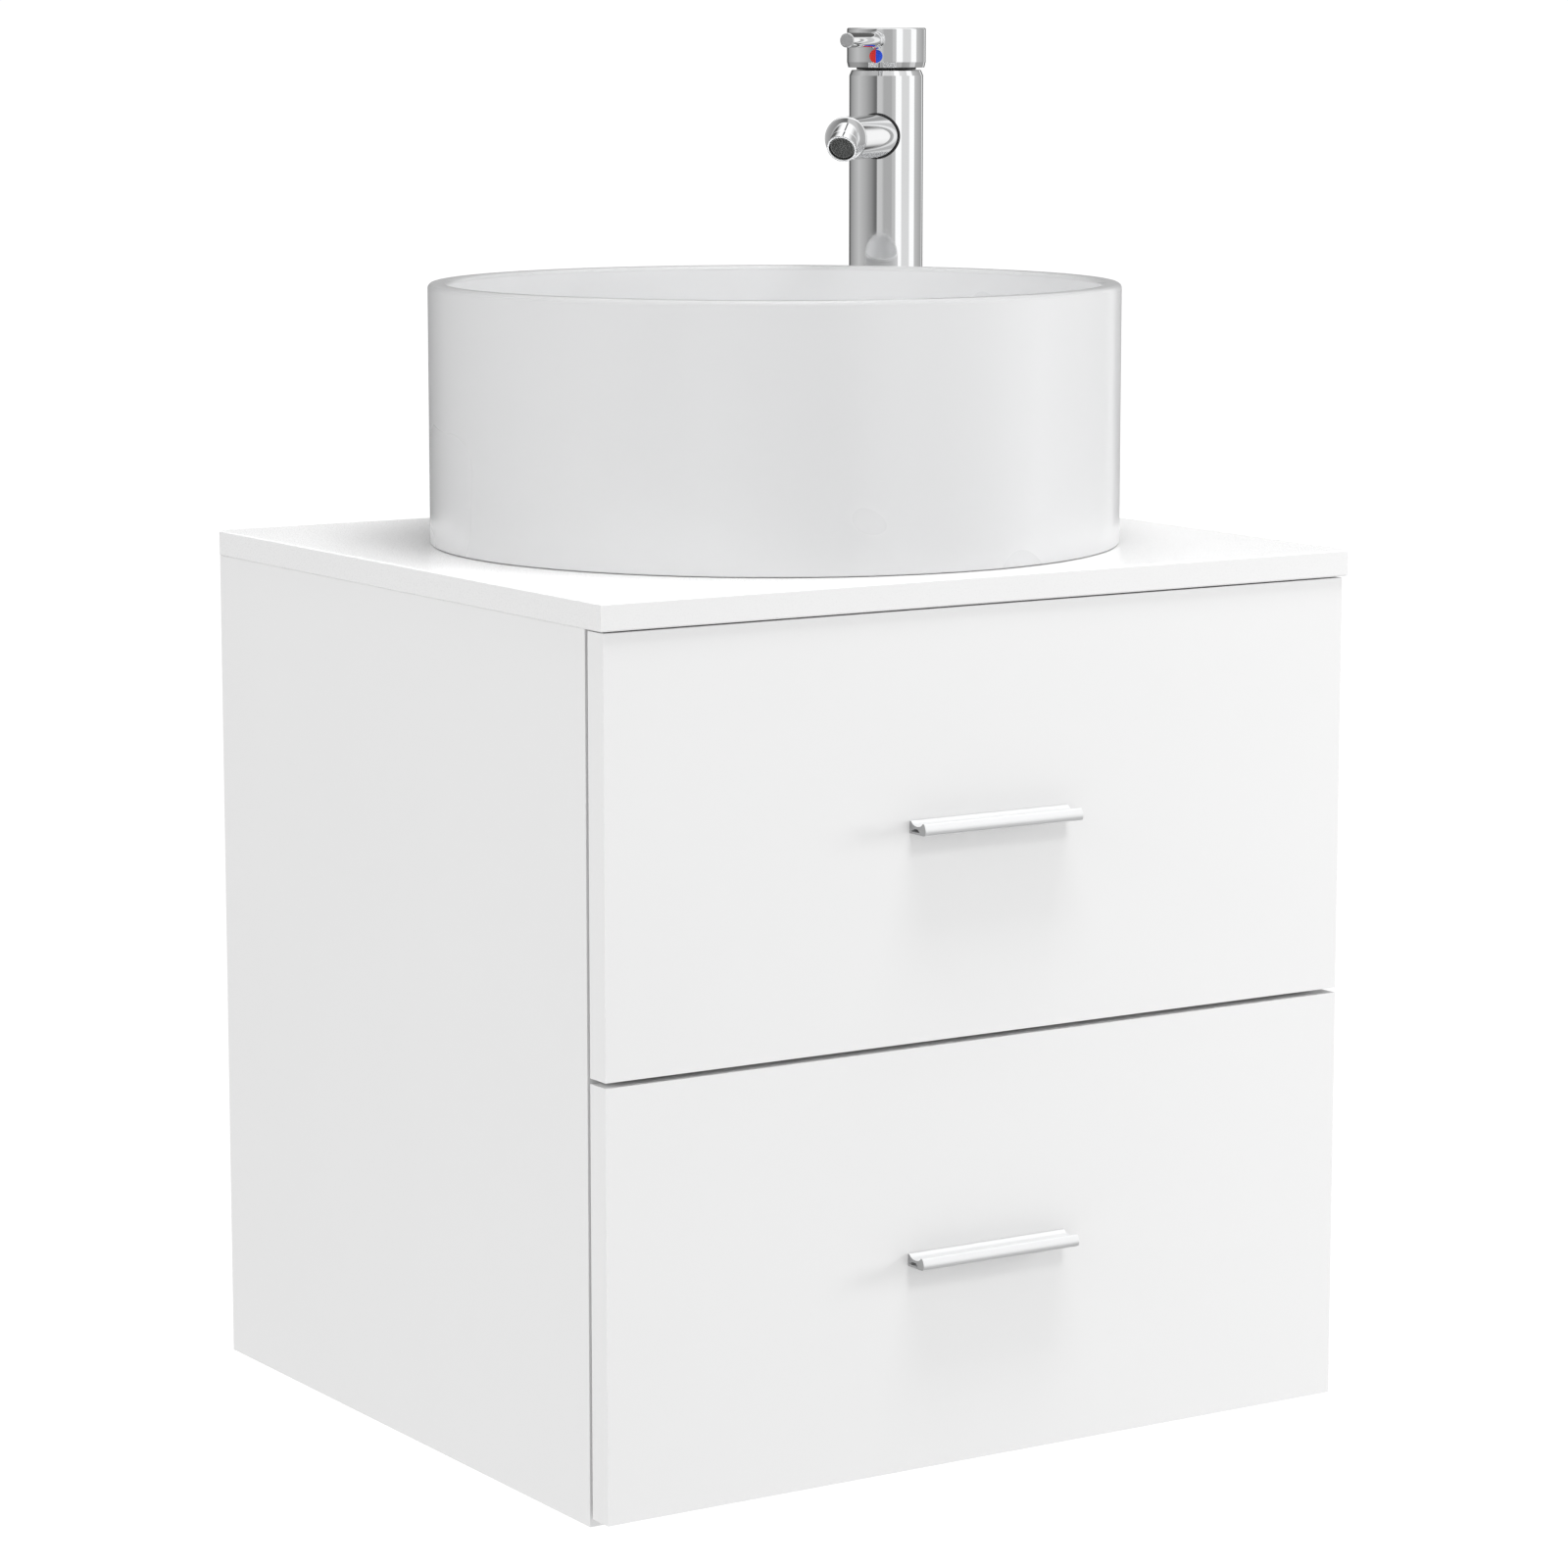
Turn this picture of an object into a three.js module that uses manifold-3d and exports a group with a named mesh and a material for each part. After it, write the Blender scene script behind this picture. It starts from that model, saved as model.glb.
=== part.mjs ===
// Vessel sink on a wall-hung vanity: a round ceramic bowl on a counter slab, a tall single-lever
// mixer tap, a bottle trap, and two soft-running drawers on telescopic ball-bearing slides.
//
// Millimetres. X runs along the front to the right, +Y points to the wall, +Z is up.
// The origin is at the middle of the footprint, on the level of the cabinet's underside.

import * as THREE from 'three';
import { mergeVertices } from 'three/addons/utils/BufferGeometryUtils.js';
import Module from 'manifold-3d';

const wasm = await Module();
wasm.setup();

// ---------------------------------------------------------------- driving dimensions

const GAP = 0.3; // clearance kept between pieces that touch

const CABINET_WIDTH = 490;
const CARCASS_HEIGHT = 485; // underside of the side panels to underside of the counter
const CARCASS_DEPTH = 428;
const PANEL = 15;
const WALL_Y = 231; // the wall plane, which is also the back of the side panels

const COUNTER_WIDTH = 494;
const COUNTER_THICKNESS = 15;
const COUNTER_FRONT_OVERHANG = 2; // beyond the drawer fronts
const COUNTER_BACK_SETBACK = 3.5; // short of the wall
const COUNTER_EDGE = 0.8; // eased edge

const FRONT_WIDTH = 489;
const FRONT_HEIGHT = 238;
const FRONT_THICKNESS = 16;
const FRONT_REVEAL = 2; // air between the carcass and the back of the fronts
const FRONT_LIFT = 5; // lower edge of the lower front above the side panels' underside
const FRONT_SPACING = 3; // air between the two fronts

const DRAWER_SIDE_OFFSET = 13; // room for one slide between cabinet and drawer
const DRAWER_SIDE_THICKNESS = 12;
const DRAWER_SIDE_HEIGHT = 120;
const DRAWER_SIDE_LIFT = 19; // drawer side above the lower edge of its front
const DRAWER_BACK_Y = 195;
const DRAWER_BOTTOM_THICKNESS = 8;
const DRAWER_BOTTOM_LIFT = 2; // drawer bottom above the lower edge of its sides
const NOTCH_HALF_WIDTH = 75; // plumbing cut-out of the upper drawer
const NOTCH_FRONT_Y = -45;

const SLIDE_HEIGHT = 45;
const SLIDE_SHEET = 1.2;
const SLIDE_FRONT_Y = -194;
const SLIDE_LENGTH = 395;

const HANDLE_LENGTH = 105;

const BASIN_RADIUS = 199.5;
const BASIN_HEIGHT = 149.5;
const BASIN_WALL = 11;
const BASIN_Y = 3.5;
const DRAIN_HOLE_RADIUS = 23;
const DRAIN_LENGTH = 62; // the waste's tube below the counter's top

const TAP_X = 194;
const TAP_Y = 179;
const TAP_TURN = THREE.MathUtils.degToRad(49); // spout direction, turned from -Y towards -X
const TAP_COLUMN_RADIUS = 23;
const TAP_COLUMN_TOP = 267.6; // above the counter
const TAP_CAP_RADIUS = 24.5;
const TAP_CAP_BOTTOM = 269.2;
const TAP_CAP_TOP = 293.5;
const SPOUT_RADIUS = 13.25;
const SPOUT_HEIGHT = 227.3;
const SPOUT_REACH = 95; // tap axis to the flat end of the spout
const NOZZLE_TILT = THREE.MathUtils.degToRad(32);
const LEVER_HEIGHT = 286.2;
const LEVER_REACH = 90.5;
const LEVER_RADIUS = 4.5;
const TAP_HOLE_RADIUS = 17.5;

const TRAP_Z = 340; // axis of the waste pipe that runs into the wall
const TRAP_PIPE_RADIUS = 16;

// ---------------------------------------------------------------- planes worked out from them

const INNER_X = CABINET_WIDTH / 2 - PANEL;
const CARCASS_FRONT_Y = WALL_Y - CARCASS_DEPTH;
const FRONT_BACK_Y = CARCASS_FRONT_Y - FRONT_REVEAL;
const FRONT_FACE_Y = FRONT_BACK_Y - FRONT_THICKNESS;
const COUNTER_Z = CARCASS_HEIGHT + COUNTER_THICKNESS; // top of the counter
const LOWER_FRONT_Z = FRONT_LIFT;
const UPPER_FRONT_Z = FRONT_LIFT + FRONT_HEIGHT + FRONT_SPACING;
const DRAWER_OUTER_X = INNER_X - DRAWER_SIDE_OFFSET;
const DRAWER_INNER_X = DRAWER_OUTER_X - DRAWER_SIDE_THICKNESS;
const DRAWER_FRONT_Y = FRONT_BACK_Y + GAP;

// ---------------------------------------------------------------- materials

const finish = (color, roughness, metalness) =>
  new THREE.MeshStandardMaterial({ color, roughness, metalness });

const whiteBoard = finish(0xf0f0f0, 0.45, 0);
const drawerBoard = finish(0xe9e9e7, 0.55, 0);
const glazedWhite = finish(0xe8eaec, 0.12, 0);
const chrome = finish(0xd8dadc, 0.06, 1);
const satinAluminium = finish(0xd2d3d4, 0.35, 1);
const zincSteel = finish(0xb4b8bb, 0.4, 1);
const brass = finish(0xb9985a, 0.35, 1);
const blackRubber = finish(0x202022, 0.8, 0);
const darkPlastic = finish(0x303134, 0.6, 0);
const redBluePlastic = finish(0x3058c8, 0.35, 0);

// ---------------------------------------------------------------- geometry helpers

function box([x0, x1], [y0, y1], [z0, z1]) {
  const geometry = new THREE.BoxGeometry(x1 - x0, y1 - y0, z1 - z0);
  return geometry.translate((x0 + x1) / 2, (y0 + y1) / 2, (z0 + z1) / 2);
}

// Points of an arc, from one angle to another in degrees.
function arc(centreX, centreY, radius, from, to, steps) {
  const points = [];
  for (let i = 0; i <= steps; i += 1) {
    const angle = THREE.MathUtils.degToRad(from + ((to - from) * i) / steps);
    points.push([centreX + radius * Math.cos(angle), centreY + radius * Math.sin(angle)]);
  }
  return points;
}

// Solid of revolution about Z. The profile is [radius, z], anticlockwise in the r-z plane.
function revolve(profile, segments) {
  const points = profile.map(([radius, z]) => new THREE.Vector2(radius, z));
  return new THREE.LatheGeometry(points, segments).rotateX(Math.PI / 2);
}

// Solid of revolution of a closed ring section.
function revolveRing(profile, segments) {
  return revolve([...profile, profile[0]], segments);
}

function ring(innerRadius, outerRadius, z0, z1, segments) {
  const section = [[innerRadius, z0], [outerRadius, z0], [outerRadius, z1], [innerRadius, z1]];
  return revolveRing(section, segments);
}

function disc(radius, z0, z1, segments) {
  return revolve([[0, z0], [radius, z0], [radius, z1], [0, z1]], segments);
}

function shapeOf(outline, holes = []) {
  const toPath = (points, Kind) => new Kind(points.map(([x, y]) => new THREE.Vector2(x, y)));
  const shape = toPath(outline, THREE.Shape);
  shape.holes = holes.map((points) => toPath(points, THREE.Path));
  return shape;
}

function extrude(outline, depth, holes) {
  return new THREE.ExtrudeGeometry(shapeOf(outline, holes), { depth, bevelEnabled: false });
}

// A section in the Y-Z plane, drawn out along X.
function extrudeAlongX(outline, x0, x1, holes) {
  const axes = new THREE.Matrix4().makeBasis(
    new THREE.Vector3(0, 1, 0),
    new THREE.Vector3(0, 0, 1),
    new THREE.Vector3(1, 0, 0),
  );
  return extrude(outline, x1 - x0, holes).applyMatrix4(axes).translate(x0, 0, 0);
}

// A section in the X-Z plane, drawn out along Y.
function extrudeAlongY(outline, y0, y1, holes) {
  return extrude(outline, y1 - y0, holes).rotateX(Math.PI / 2).translate(0, y1, 0);
}

// An outline in the X-Y plane, drawn out along Z.
function extrudeAlongZ(outline, z0, z1, holes) {
  return extrude(outline, z1 - z0, holes).translate(0, 0, z0);
}

function toSolid(geometry) {
  const bare = geometry.clone();
  bare.deleteAttribute('normal');
  bare.deleteAttribute('uv');
  const merged = mergeVertices(bare, 1e-4);
  return new wasm.Manifold(new wasm.Mesh({
    numProp: 3,
    vertProperties: new Float32Array(merged.attributes.position.array),
    triVerts: new Uint32Array(merged.index.array),
  }));
}

function toGeometry(solid) {
  const mesh = solid.getMesh();
  const geometry = new THREE.BufferGeometry();
  geometry.setAttribute('position', new THREE.BufferAttribute(mesh.vertProperties, 3));
  geometry.setIndex(new THREE.BufferAttribute(mesh.triVerts, 1));
  return geometry;
}

function join(...geometries) {
  return toGeometry(geometries.map(toSolid).reduce((whole, next) => whole.add(next)));
}

function cut(geometry, ...tools) {
  return toGeometry(tools.map(toSolid).reduce((rest, tool) => rest.subtract(tool), toSolid(geometry)));
}

function common(first, second) {
  return toGeometry(toSolid(first).intersect(toSolid(second)));
}

const vanity = new THREE.Group();

function addTo(group, name, geometry, material) {
  const mesh = new THREE.Mesh(geometry, material);
  mesh.name = name;
  group.add(mesh);
  return mesh;
}

const add = (name, geometry, material) => addTo(vanity, name, geometry, material);

const SIDES = [['left', -1], ['right', 1]];

// An interval of X on one side of the middle: `near` and `far` are distances from the middle.
const onSide = (sign, near, far) => (sign < 0 ? [-far, -near] : [near, far]);

// ---------------------------------------------------------------- carcass

function buildCarcass() {
  const underCounter = CARCASS_HEIGHT - GAP;
  const railHeight = 100;
  const lowerRailHeight = 80;
  const railY = [WALL_Y - PANEL, WALL_Y];
  const between = [-INNER_X + GAP, INNER_X - GAP];

  for (const [side, sign] of SIDES) {
    const acrossPanel = onSide(sign, INNER_X, CABINET_WIDTH / 2);
    add(`side_panel_${side}`, box(acrossPanel, [CARCASS_FRONT_Y, WALL_Y], [0, underCounter]), whiteBoard);
  }
  add('bottom_panel', box(between, [CARCASS_FRONT_Y, railY[0] - GAP], [0, PANEL]), whiteBoard);
  add('back_rail_upper', box(between, railY, [underCounter - railHeight, underCounter]), whiteBoard);
  add('back_rail_lower', box(between, railY, [0, lowerRailHeight]), whiteBoard);

  const frontRailDepth = 70;
  const frontRailY = [CARCASS_FRONT_Y, CARCASS_FRONT_Y + frontRailDepth];
  add('front_rail', box(between, frontRailY, [underCounter - PANEL, underCounter]), whiteBoard);

  const hangerHeight = 60;
  const hangerDepth = 45;
  const hangerThickness = 14;
  const hangerLift = 20; // above the lower edge of the upper rail
  const hangerZ = underCounter - railHeight + hangerLift;
  const hangerY = railY[0] - GAP;
  const slotMargin = 8;
  const slotZ = [hangerZ + 12, hangerZ + 32];
  const slotFloor = 4; // from the side panel
  for (const [side, sign] of SIDES) {
    const body = box(
      onSide(sign, INNER_X - GAP - hangerThickness, INNER_X - GAP),
      [hangerY - hangerDepth, hangerY],
      [hangerZ, hangerZ + hangerHeight],
    );
    const screwSlot = box(
      onSide(sign, INNER_X - hangerThickness - 1, INNER_X - slotFloor),
      [hangerY - hangerDepth + slotMargin, hangerY - slotMargin],
      slotZ,
    );
    add(`wall_hanger_${side}`, cut(body, screwSlot), zincSteel);
  }
}

function buildCounter() {
  const halfWidth = COUNTER_WIDTH / 2 - COUNTER_EDGE;
  const frontY = FRONT_FACE_Y - COUNTER_FRONT_OVERHANG + COUNTER_EDGE;
  const backY = WALL_Y - COUNTER_BACK_SETBACK - COUNTER_EDGE;
  const outline = [[-halfWidth, frontY], [halfWidth, frontY], [halfWidth, backY], [-halfWidth, backY]];
  const slab = new THREE.ExtrudeGeometry(shapeOf(outline), {
    depth: COUNTER_THICKNESS - 2 * COUNTER_EDGE,
    bevelThickness: COUNTER_EDGE,
    bevelSize: COUNTER_EDGE,
    bevelSegments: 1,
  }).translate(0, 0, CARCASS_HEIGHT + COUNTER_EDGE);
  const through = [CARCASS_HEIGHT - 5, COUNTER_Z + 5];
  const drainHole = disc(DRAIN_HOLE_RADIUS, ...through, 40).translate(0, BASIN_Y, 0);
  const tapHole = disc(TAP_HOLE_RADIUS, ...through, 32).translate(TAP_X, TAP_Y, 0);
  add('counter_top', cut(slab, drainHole, tapHole), whiteBoard);
}

// ---------------------------------------------------------------- basin and waste

function basinProfile() {
  const inner = BASIN_RADIUS - BASIN_WALL;
  const rimOuter = 3;
  const rimInner = 2.6;
  const footEdge = 0.9;
  const recess = 4; // height of the hollow under the bowl
  const collarRadius = 45; // the flat ring round the drain that bears on the counter
  const footInner = BASIN_RADIUS - 20.5;
  const bevel = 3;
  const seat = 9; // level of the waste flange
  const seatRadius = 33.5;
  const cornerRadius = 48; // between the inner wall and the floor of the bowl
  const floorEdge = inner - cornerRadius - 1;
  const floorZ = 16; // floor of the bowl at its outer edge, above the counter
  return [
    [DRAIN_HOLE_RADIUS, GAP],
    [collarRadius, GAP],
    [collarRadius + bevel, recess],
    [footInner - bevel, recess],
    [footInner, GAP],
    [BASIN_RADIUS - footEdge, GAP],
    [BASIN_RADIUS, GAP + footEdge],
    ...arc(BASIN_RADIUS - rimOuter, BASIN_HEIGHT - rimOuter, rimOuter, 0, 90, 4),
    ...arc(inner + rimInner, BASIN_HEIGHT - rimInner, rimInner, 90, 180, 3),
    ...arc(floorEdge, floorZ + cornerRadius, cornerRadius, 0, -90, 7),
    [seatRadius + bevel, 13],
    [seatRadius, seat],
    [DRAIN_HOLE_RADIUS, seat],
  ];
}

function buildBasin() {
  const bowl = revolveRing(basinProfile(), 60).translate(0, BASIN_Y, COUNTER_Z);
  add('basin', bowl, glazedWhite);
}

function buildWaste() {
  const waste = new THREE.Group();
  waste.position.set(0, BASIN_Y, COUNTER_Z);
  vanity.add(waste);

  const thread = 20.9;
  const bore = 18.6;
  const flangeRadius = 32.5;
  const flangeBottom = 9 + GAP;
  const underCounter = -COUNTER_THICKNESS - GAP;
  const drainEnd = -DRAIN_LENGTH;

  // Threaded tube with a dished flange, which opens at both ends.
  addTo(waste, 'drain_body', revolveRing([
    [bore, drainEnd],
    [thread, drainEnd],
    [thread, flangeBottom],
    [flangeRadius, flangeBottom],
    [flangeRadius, flangeBottom + 1.6],
    [30.5, flangeBottom + 2.6],
    [24, flangeBottom + 2.2],
    [21, flangeBottom],
    [bore, flangeBottom - 3],
  ], 28), chrome);

  const pinRadius = 4;
  const pinEnd = -34;
  const lidRadius = 19.4;
  addTo(waste, 'drain_plug', revolve([
    [0, pinEnd],
    [pinRadius, pinEnd],
    [pinRadius, flangeBottom - 5],
    [17.6, flangeBottom - 3.4],
    [lidRadius, flangeBottom + 0.6],
    [lidRadius, flangeBottom + 2],
    [12, flangeBottom + 3.6],
    [0, flangeBottom + 4.2],
  ], 24), chrome);

  const gasketBottom = underCounter - 3.5;
  const gasket = ring(thread + GAP, flangeRadius, gasketBottom, underCounter, 24);
  addTo(waste, 'drain_gasket', gasket, blackRubber);

  const nutTop = gasketBottom - GAP;
  const nutHeight = 8;
  const hexagon = arc(0, 0, 33, 0, 300, 5);
  const nutBore = arc(0, 0, thread + 0.4, 0, 345, 23);
  const locknut = extrudeAlongZ(hexagon, nutTop - nutHeight, nutTop, [nutBore]);
  addTo(waste, 'drain_locknut', locknut, chrome);
}

function buildTrap() {
  const trap = new THREE.Group();
  trap.position.set(0, BASIN_Y, 0);
  vanity.add(trap);

  const drainEnd = COUNTER_Z - DRAIN_LENGTH;
  const bottleRadius = 33;
  const bottleWall = 2.5;
  const bottleBottom = 288;
  const bottleTop = 368;
  const pipeInner = TRAP_PIPE_RADIUS - 2;
  const pipeFit = TRAP_PIPE_RADIUS + 0.4; // bore that slides over the pipe
  const bottleNeck = TRAP_PIPE_RADIUS + 0.5;
  const drainFit = 21.4; // bore that takes the waste's thread
  const nutRadius = 26;
  const portEnd = bottleRadius + 16; // along +Y

  const inletBottom = 305;
  const inletTop = drainEnd + 22;
  addTo(trap, 'trap_inlet_tube', ring(pipeInner, TRAP_PIPE_RADIUS, inletBottom, inletTop, 24), chrome);
  addTo(trap, 'trap_inlet_nut', revolveRing([
    [pipeFit, drainEnd - 12],
    [22, drainEnd - 12],
    [nutRadius, drainEnd - 8],
    [nutRadius, drainEnd + 14],
    [drainFit, drainEnd + 14],
    [drainFit, drainEnd - 2],
    [pipeFit, drainEnd - 2],
  ], 24), chrome);

  const bottle = revolveRing([
    [bottleNeck, bottleTop - 3],
    [bottleRadius - bottleWall, bottleTop - 6],
    [bottleRadius - bottleWall, bottleBottom + 6],
    [bottleRadius - bottleWall - 8, bottleBottom + 2.5],
    [0, bottleBottom + 2.5],
    [0, bottleBottom],
    [bottleRadius - 8, bottleBottom],
    [bottleRadius, bottleBottom + 6],
    [bottleRadius, bottleTop - 6],
    [22, bottleTop],
    [22, bottleTop + 14],
    [bottleNeck, bottleTop + 14],
  ], 28);
  const alongY = (geometry) => geometry.rotateX(-Math.PI / 2).translate(0, 0, TRAP_Z);
  const port = alongY(disc(21, bottleRadius - 5, portEnd, 24));
  const portBore = alongY(disc(bottleNeck, bottleRadius - 12, portEnd + 1, 24));
  addTo(trap, 'trap_bottle', cut(join(bottle, port), portBore), chrome);

  addTo(trap, 'trap_outlet_nut', alongY(revolveRing([
    [pipeFit, portEnd + GAP],
    [nutRadius, portEnd + GAP],
    [nutRadius, portEnd + 14],
    [22, portEnd + 18],
    [pipeFit, portEnd + 18],
  ], 24)), chrome);

  const wallDistance = WALL_Y - BASIN_Y;
  const rosetteRadius = 36;
  const outlet = ring(pipeInner, TRAP_PIPE_RADIUS, bottleRadius, wallDistance, 24);
  addTo(trap, 'trap_outlet_tube', alongY(outlet), chrome);
  addTo(trap, 'trap_wall_rosette', alongY(revolveRing([
    [pipeFit, wallDistance - 12],
    [20, wallDistance - 12],
    [rosetteRadius, wallDistance - 2],
    [rosetteRadius, wallDistance],
    [pipeFit, wallDistance],
  ], 28)), chrome);
}

// ---------------------------------------------------------------- mixer tap

// The tap is drawn with its spout along -Y, on the axis X = Y = 0, from the counter's top.
function buildTap() {
  const tap = new THREE.Group();
  tap.position.set(TAP_X, TAP_Y, COUNTER_Z);
  tap.rotation.z = -TAP_TURN;
  vanity.add(tap);

  // Turns a solid of revolution so that its +Z end points along -Y, at a height.
  const forward = (geometry, height) => geometry.rotateX(Math.PI / 2).translate(0, 0, height);

  const gasketTop = 2;
  addTo(tap, 'tap_base_gasket', ring(19, 25, GAP, gasketTop, 28), blackRubber);

  const shoulderHeight = 3.4;
  const shoulderDepth = 1.4;
  const cavity = 17.5;
  const cavityFloor = TAP_COLUMN_TOP - 37;
  const bodyBottom = gasketTop + GAP;
  const baseRadius = 26;
  addTo(tap, 'tap_body', revolve([
    [0, bodyBottom],
    [baseRadius, bodyBottom],
    [baseRadius, bodyBottom + 3.5],
    [TAP_COLUMN_RADIUS, bodyBottom + 5],
    [TAP_COLUMN_RADIUS, TAP_COLUMN_TOP - shoulderHeight],
    [TAP_COLUMN_RADIUS - shoulderDepth, TAP_COLUMN_TOP],
    [cavity, TAP_COLUMN_TOP],
    [cavity, cavityFloor],
    [0, cavityFloor],
  ], 36), chrome);

  // Spout: a straight tube with a flat end and a short nozzle that leans downwards.
  const nozzleRadius = 9.25;
  const nozzleBack = 16; // how far the nozzle runs back into the arm
  const aeratorRadius = 7.65;
  const mouthY = -SPOUT_REACH - 7;
  const mouthZ = SPOUT_HEIGHT - 6.1;
  const leanForward = (geometry) => geometry
    .rotateX(Math.PI / 2 + NOZZLE_TILT)
    .translate(0, mouthY, mouthZ);
  const arm = forward(revolve([
    [0, 5],
    [SPOUT_RADIUS, 5],
    [SPOUT_RADIUS, SPOUT_REACH - 1],
    [SPOUT_RADIUS - 1, SPOUT_REACH],
    [0, SPOUT_REACH],
  ], 28), SPOUT_HEIGHT);
  const nozzle = leanForward(disc(nozzleRadius, -nozzleBack, 0, 24));
  const nozzleBore = leanForward(disc(aeratorRadius + GAP, -8, 2, 20));
  const columnClearance = disc(TAP_COLUMN_RADIUS + GAP, 0, TAP_COLUMN_TOP, 36);
  addTo(tap, 'tap_spout', cut(join(arm, nozzle), nozzleBore, columnClearance), chrome);
  addTo(tap, 'tap_aerator', leanForward(disc(aeratorRadius, -7.5, -0.8, 20)), darkPlastic);

  // The cartridge stays in the body; its stem, with the collar under the cap, turns.
  const cartridgeTop = TAP_COLUMN_TOP - 4;
  addTo(tap, 'tap_cartridge', disc(16.5, cavityFloor + GAP, cartridgeTop, 24), brass);
  const collarZ = TAP_COLUMN_TOP + GAP;
  const collarRadius = 18.5;
  const collarHeight = 3;
  const stemRadius = 5;
  const stemTipRadius = 4;
  const stemTop = collarZ + 7;
  addTo(tap, 'tap_swivel_collar', revolve([
    [0, cartridgeTop + GAP],
    [stemRadius, cartridgeTop + GAP],
    [stemRadius, collarZ],
    [collarRadius, collarZ],
    [collarRadius, collarZ + collarHeight],
    [stemTipRadius, collarZ + collarHeight],
    [stemTipRadius, stemTop],
    [0, stemTop],
  ], 28), darkPlastic);

  // Handle: a cap with a hollow underside, a boss for the lever and a pocket for the indicator.
  const capEdge = 0.8;
  const hollow = 22.6;
  const hollowTop = TAP_CAP_BOTTOM + 10;
  const skirt = 3.4; // height of the taper at the cap's lower edge
  const cap = revolve([
    [0, hollowTop],
    [hollow, hollowTop],
    [hollow, TAP_CAP_BOTTOM],
    [TAP_CAP_RADIUS - capEdge, TAP_CAP_BOTTOM],
    [TAP_CAP_RADIUS, TAP_CAP_BOTTOM + skirt],
    [TAP_CAP_RADIUS, TAP_CAP_TOP - capEdge],
    [TAP_CAP_RADIUS - capEdge, TAP_CAP_TOP],
    [0, TAP_CAP_TOP],
  ], 36);
  const bossStart = 15;
  const bossEnd = 29;
  const bossSection = [[0, bossStart], [5.4, bossStart], [5.4, 24], [4.9, bossEnd], [0, bossEnd]];
  const boss = forward(revolve(bossSection, 20), LEVER_HEIGHT);
  const studRadiusInCap = 2.5;
  const studStart = 22.5;
  const studBore = forward(disc(studRadiusInCap + GAP, studStart - 0.5, bossEnd + 1, 16), LEVER_HEIGHT);
  const indicatorHeight = TAP_CAP_TOP - 17.2;
  const indicatorRadius = 4.2;
  const pocketFloor = TAP_CAP_RADIUS - 1.3;
  const pocket = forward(disc(indicatorRadius + GAP, pocketFloor, 30, 24), indicatorHeight);
  addTo(tap, 'tap_handle', cut(join(cap, boss), studBore, pocket), chrome);

  addTo(tap, 'tap_lever', forward(revolve([
    [0, studStart],
    [studRadiusInCap, studStart],
    [studRadiusInCap, bossEnd + GAP],
    [LEVER_RADIUS, bossEnd + GAP],
    [LEVER_RADIUS, LEVER_REACH - 0.5],
    [LEVER_RADIUS - 0.5, LEVER_REACH],
    [0, LEVER_REACH],
  ], 20), LEVER_HEIGHT), chrome);

  const dot = forward(disc(indicatorRadius, pocketFloor + GAP, 30, 24), indicatorHeight);
  const dotFace = disc(TAP_CAP_RADIUS + 0.2, TAP_CAP_BOTTOM, TAP_CAP_TOP, 72);
  addTo(tap, 'tap_indicator', common(dot, dotFace), redBluePlastic);

  // Fixing under the counter: one stud with a slotted washer and a nut, and the two inlets.
  const studY = 10;
  const studRadius = 4;
  const inletX = 7.5;
  const inletY = -3;
  const inletRadius = 5;
  const shankBottom = -60;
  const stud = disc(studRadius, shankBottom, gasketTop, 16).translate(0, studY, 0);
  addTo(tap, 'tap_mounting_stud', stud, brass);
  const inletSlot = [
    ...arc(inletX, inletY, inletRadius + 1, -90, 90, 8),
    ...arc(-inletX, inletY, inletRadius + 1, 90, 270, 8),
  ];
  const studHole = arc(0, studY, studRadius + 0.4, 0, 337.5, 15);
  const washerTop = -COUNTER_THICKNESS - GAP;
  const washerBottom = washerTop - 3;
  const washerEdge = arc(0, 0, 26, 0, 350, 35);
  const washer = extrudeAlongZ(washerEdge, washerBottom, washerTop, [inletSlot, studHole]);
  addTo(tap, 'tap_mounting_washer', washer, zincSteel);
  const nutEdge = arc(0, studY, 7.5, 0, 300, 5);
  const nut = extrudeAlongZ(nutEdge, washerBottom - GAP - 7, washerBottom - GAP, [studHole]);
  addTo(tap, 'tap_mounting_nut', nut, brass);
  for (const [name, sign] of [['hot', -1], ['cold', 1]]) {
    const inlet = disc(inletRadius, shankBottom - 10, gasketTop, 20).translate(sign * inletX, inletY, 0);
    addTo(tap, `tap_inlet_${name}`, inlet, brass);
  }
}

// ---------------------------------------------------------------- drawers

function buildDrawerShell(drawer, frontZ) {
  const halfFront = FRONT_WIDTH / 2;
  const sideZ = [frontZ + DRAWER_SIDE_LIFT, frontZ + DRAWER_SIDE_LIFT + DRAWER_SIDE_HEIGHT];
  const frontY = [FRONT_FACE_Y, FRONT_BACK_Y];
  const frontBox = box([-halfFront, halfFront], frontY, [frontZ, frontZ + FRONT_HEIGHT]);
  add(`${drawer}_drawer_front`, frontBox, whiteBoard);
  for (const [side, sign] of SIDES) {
    const across = onSide(sign, DRAWER_INNER_X, DRAWER_OUTER_X);
    add(`${drawer}_drawer_side_${side}`, box(across, [DRAWER_FRONT_Y, DRAWER_BACK_Y], sideZ), drawerBoard);
  }
  return sideZ;
}

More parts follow.
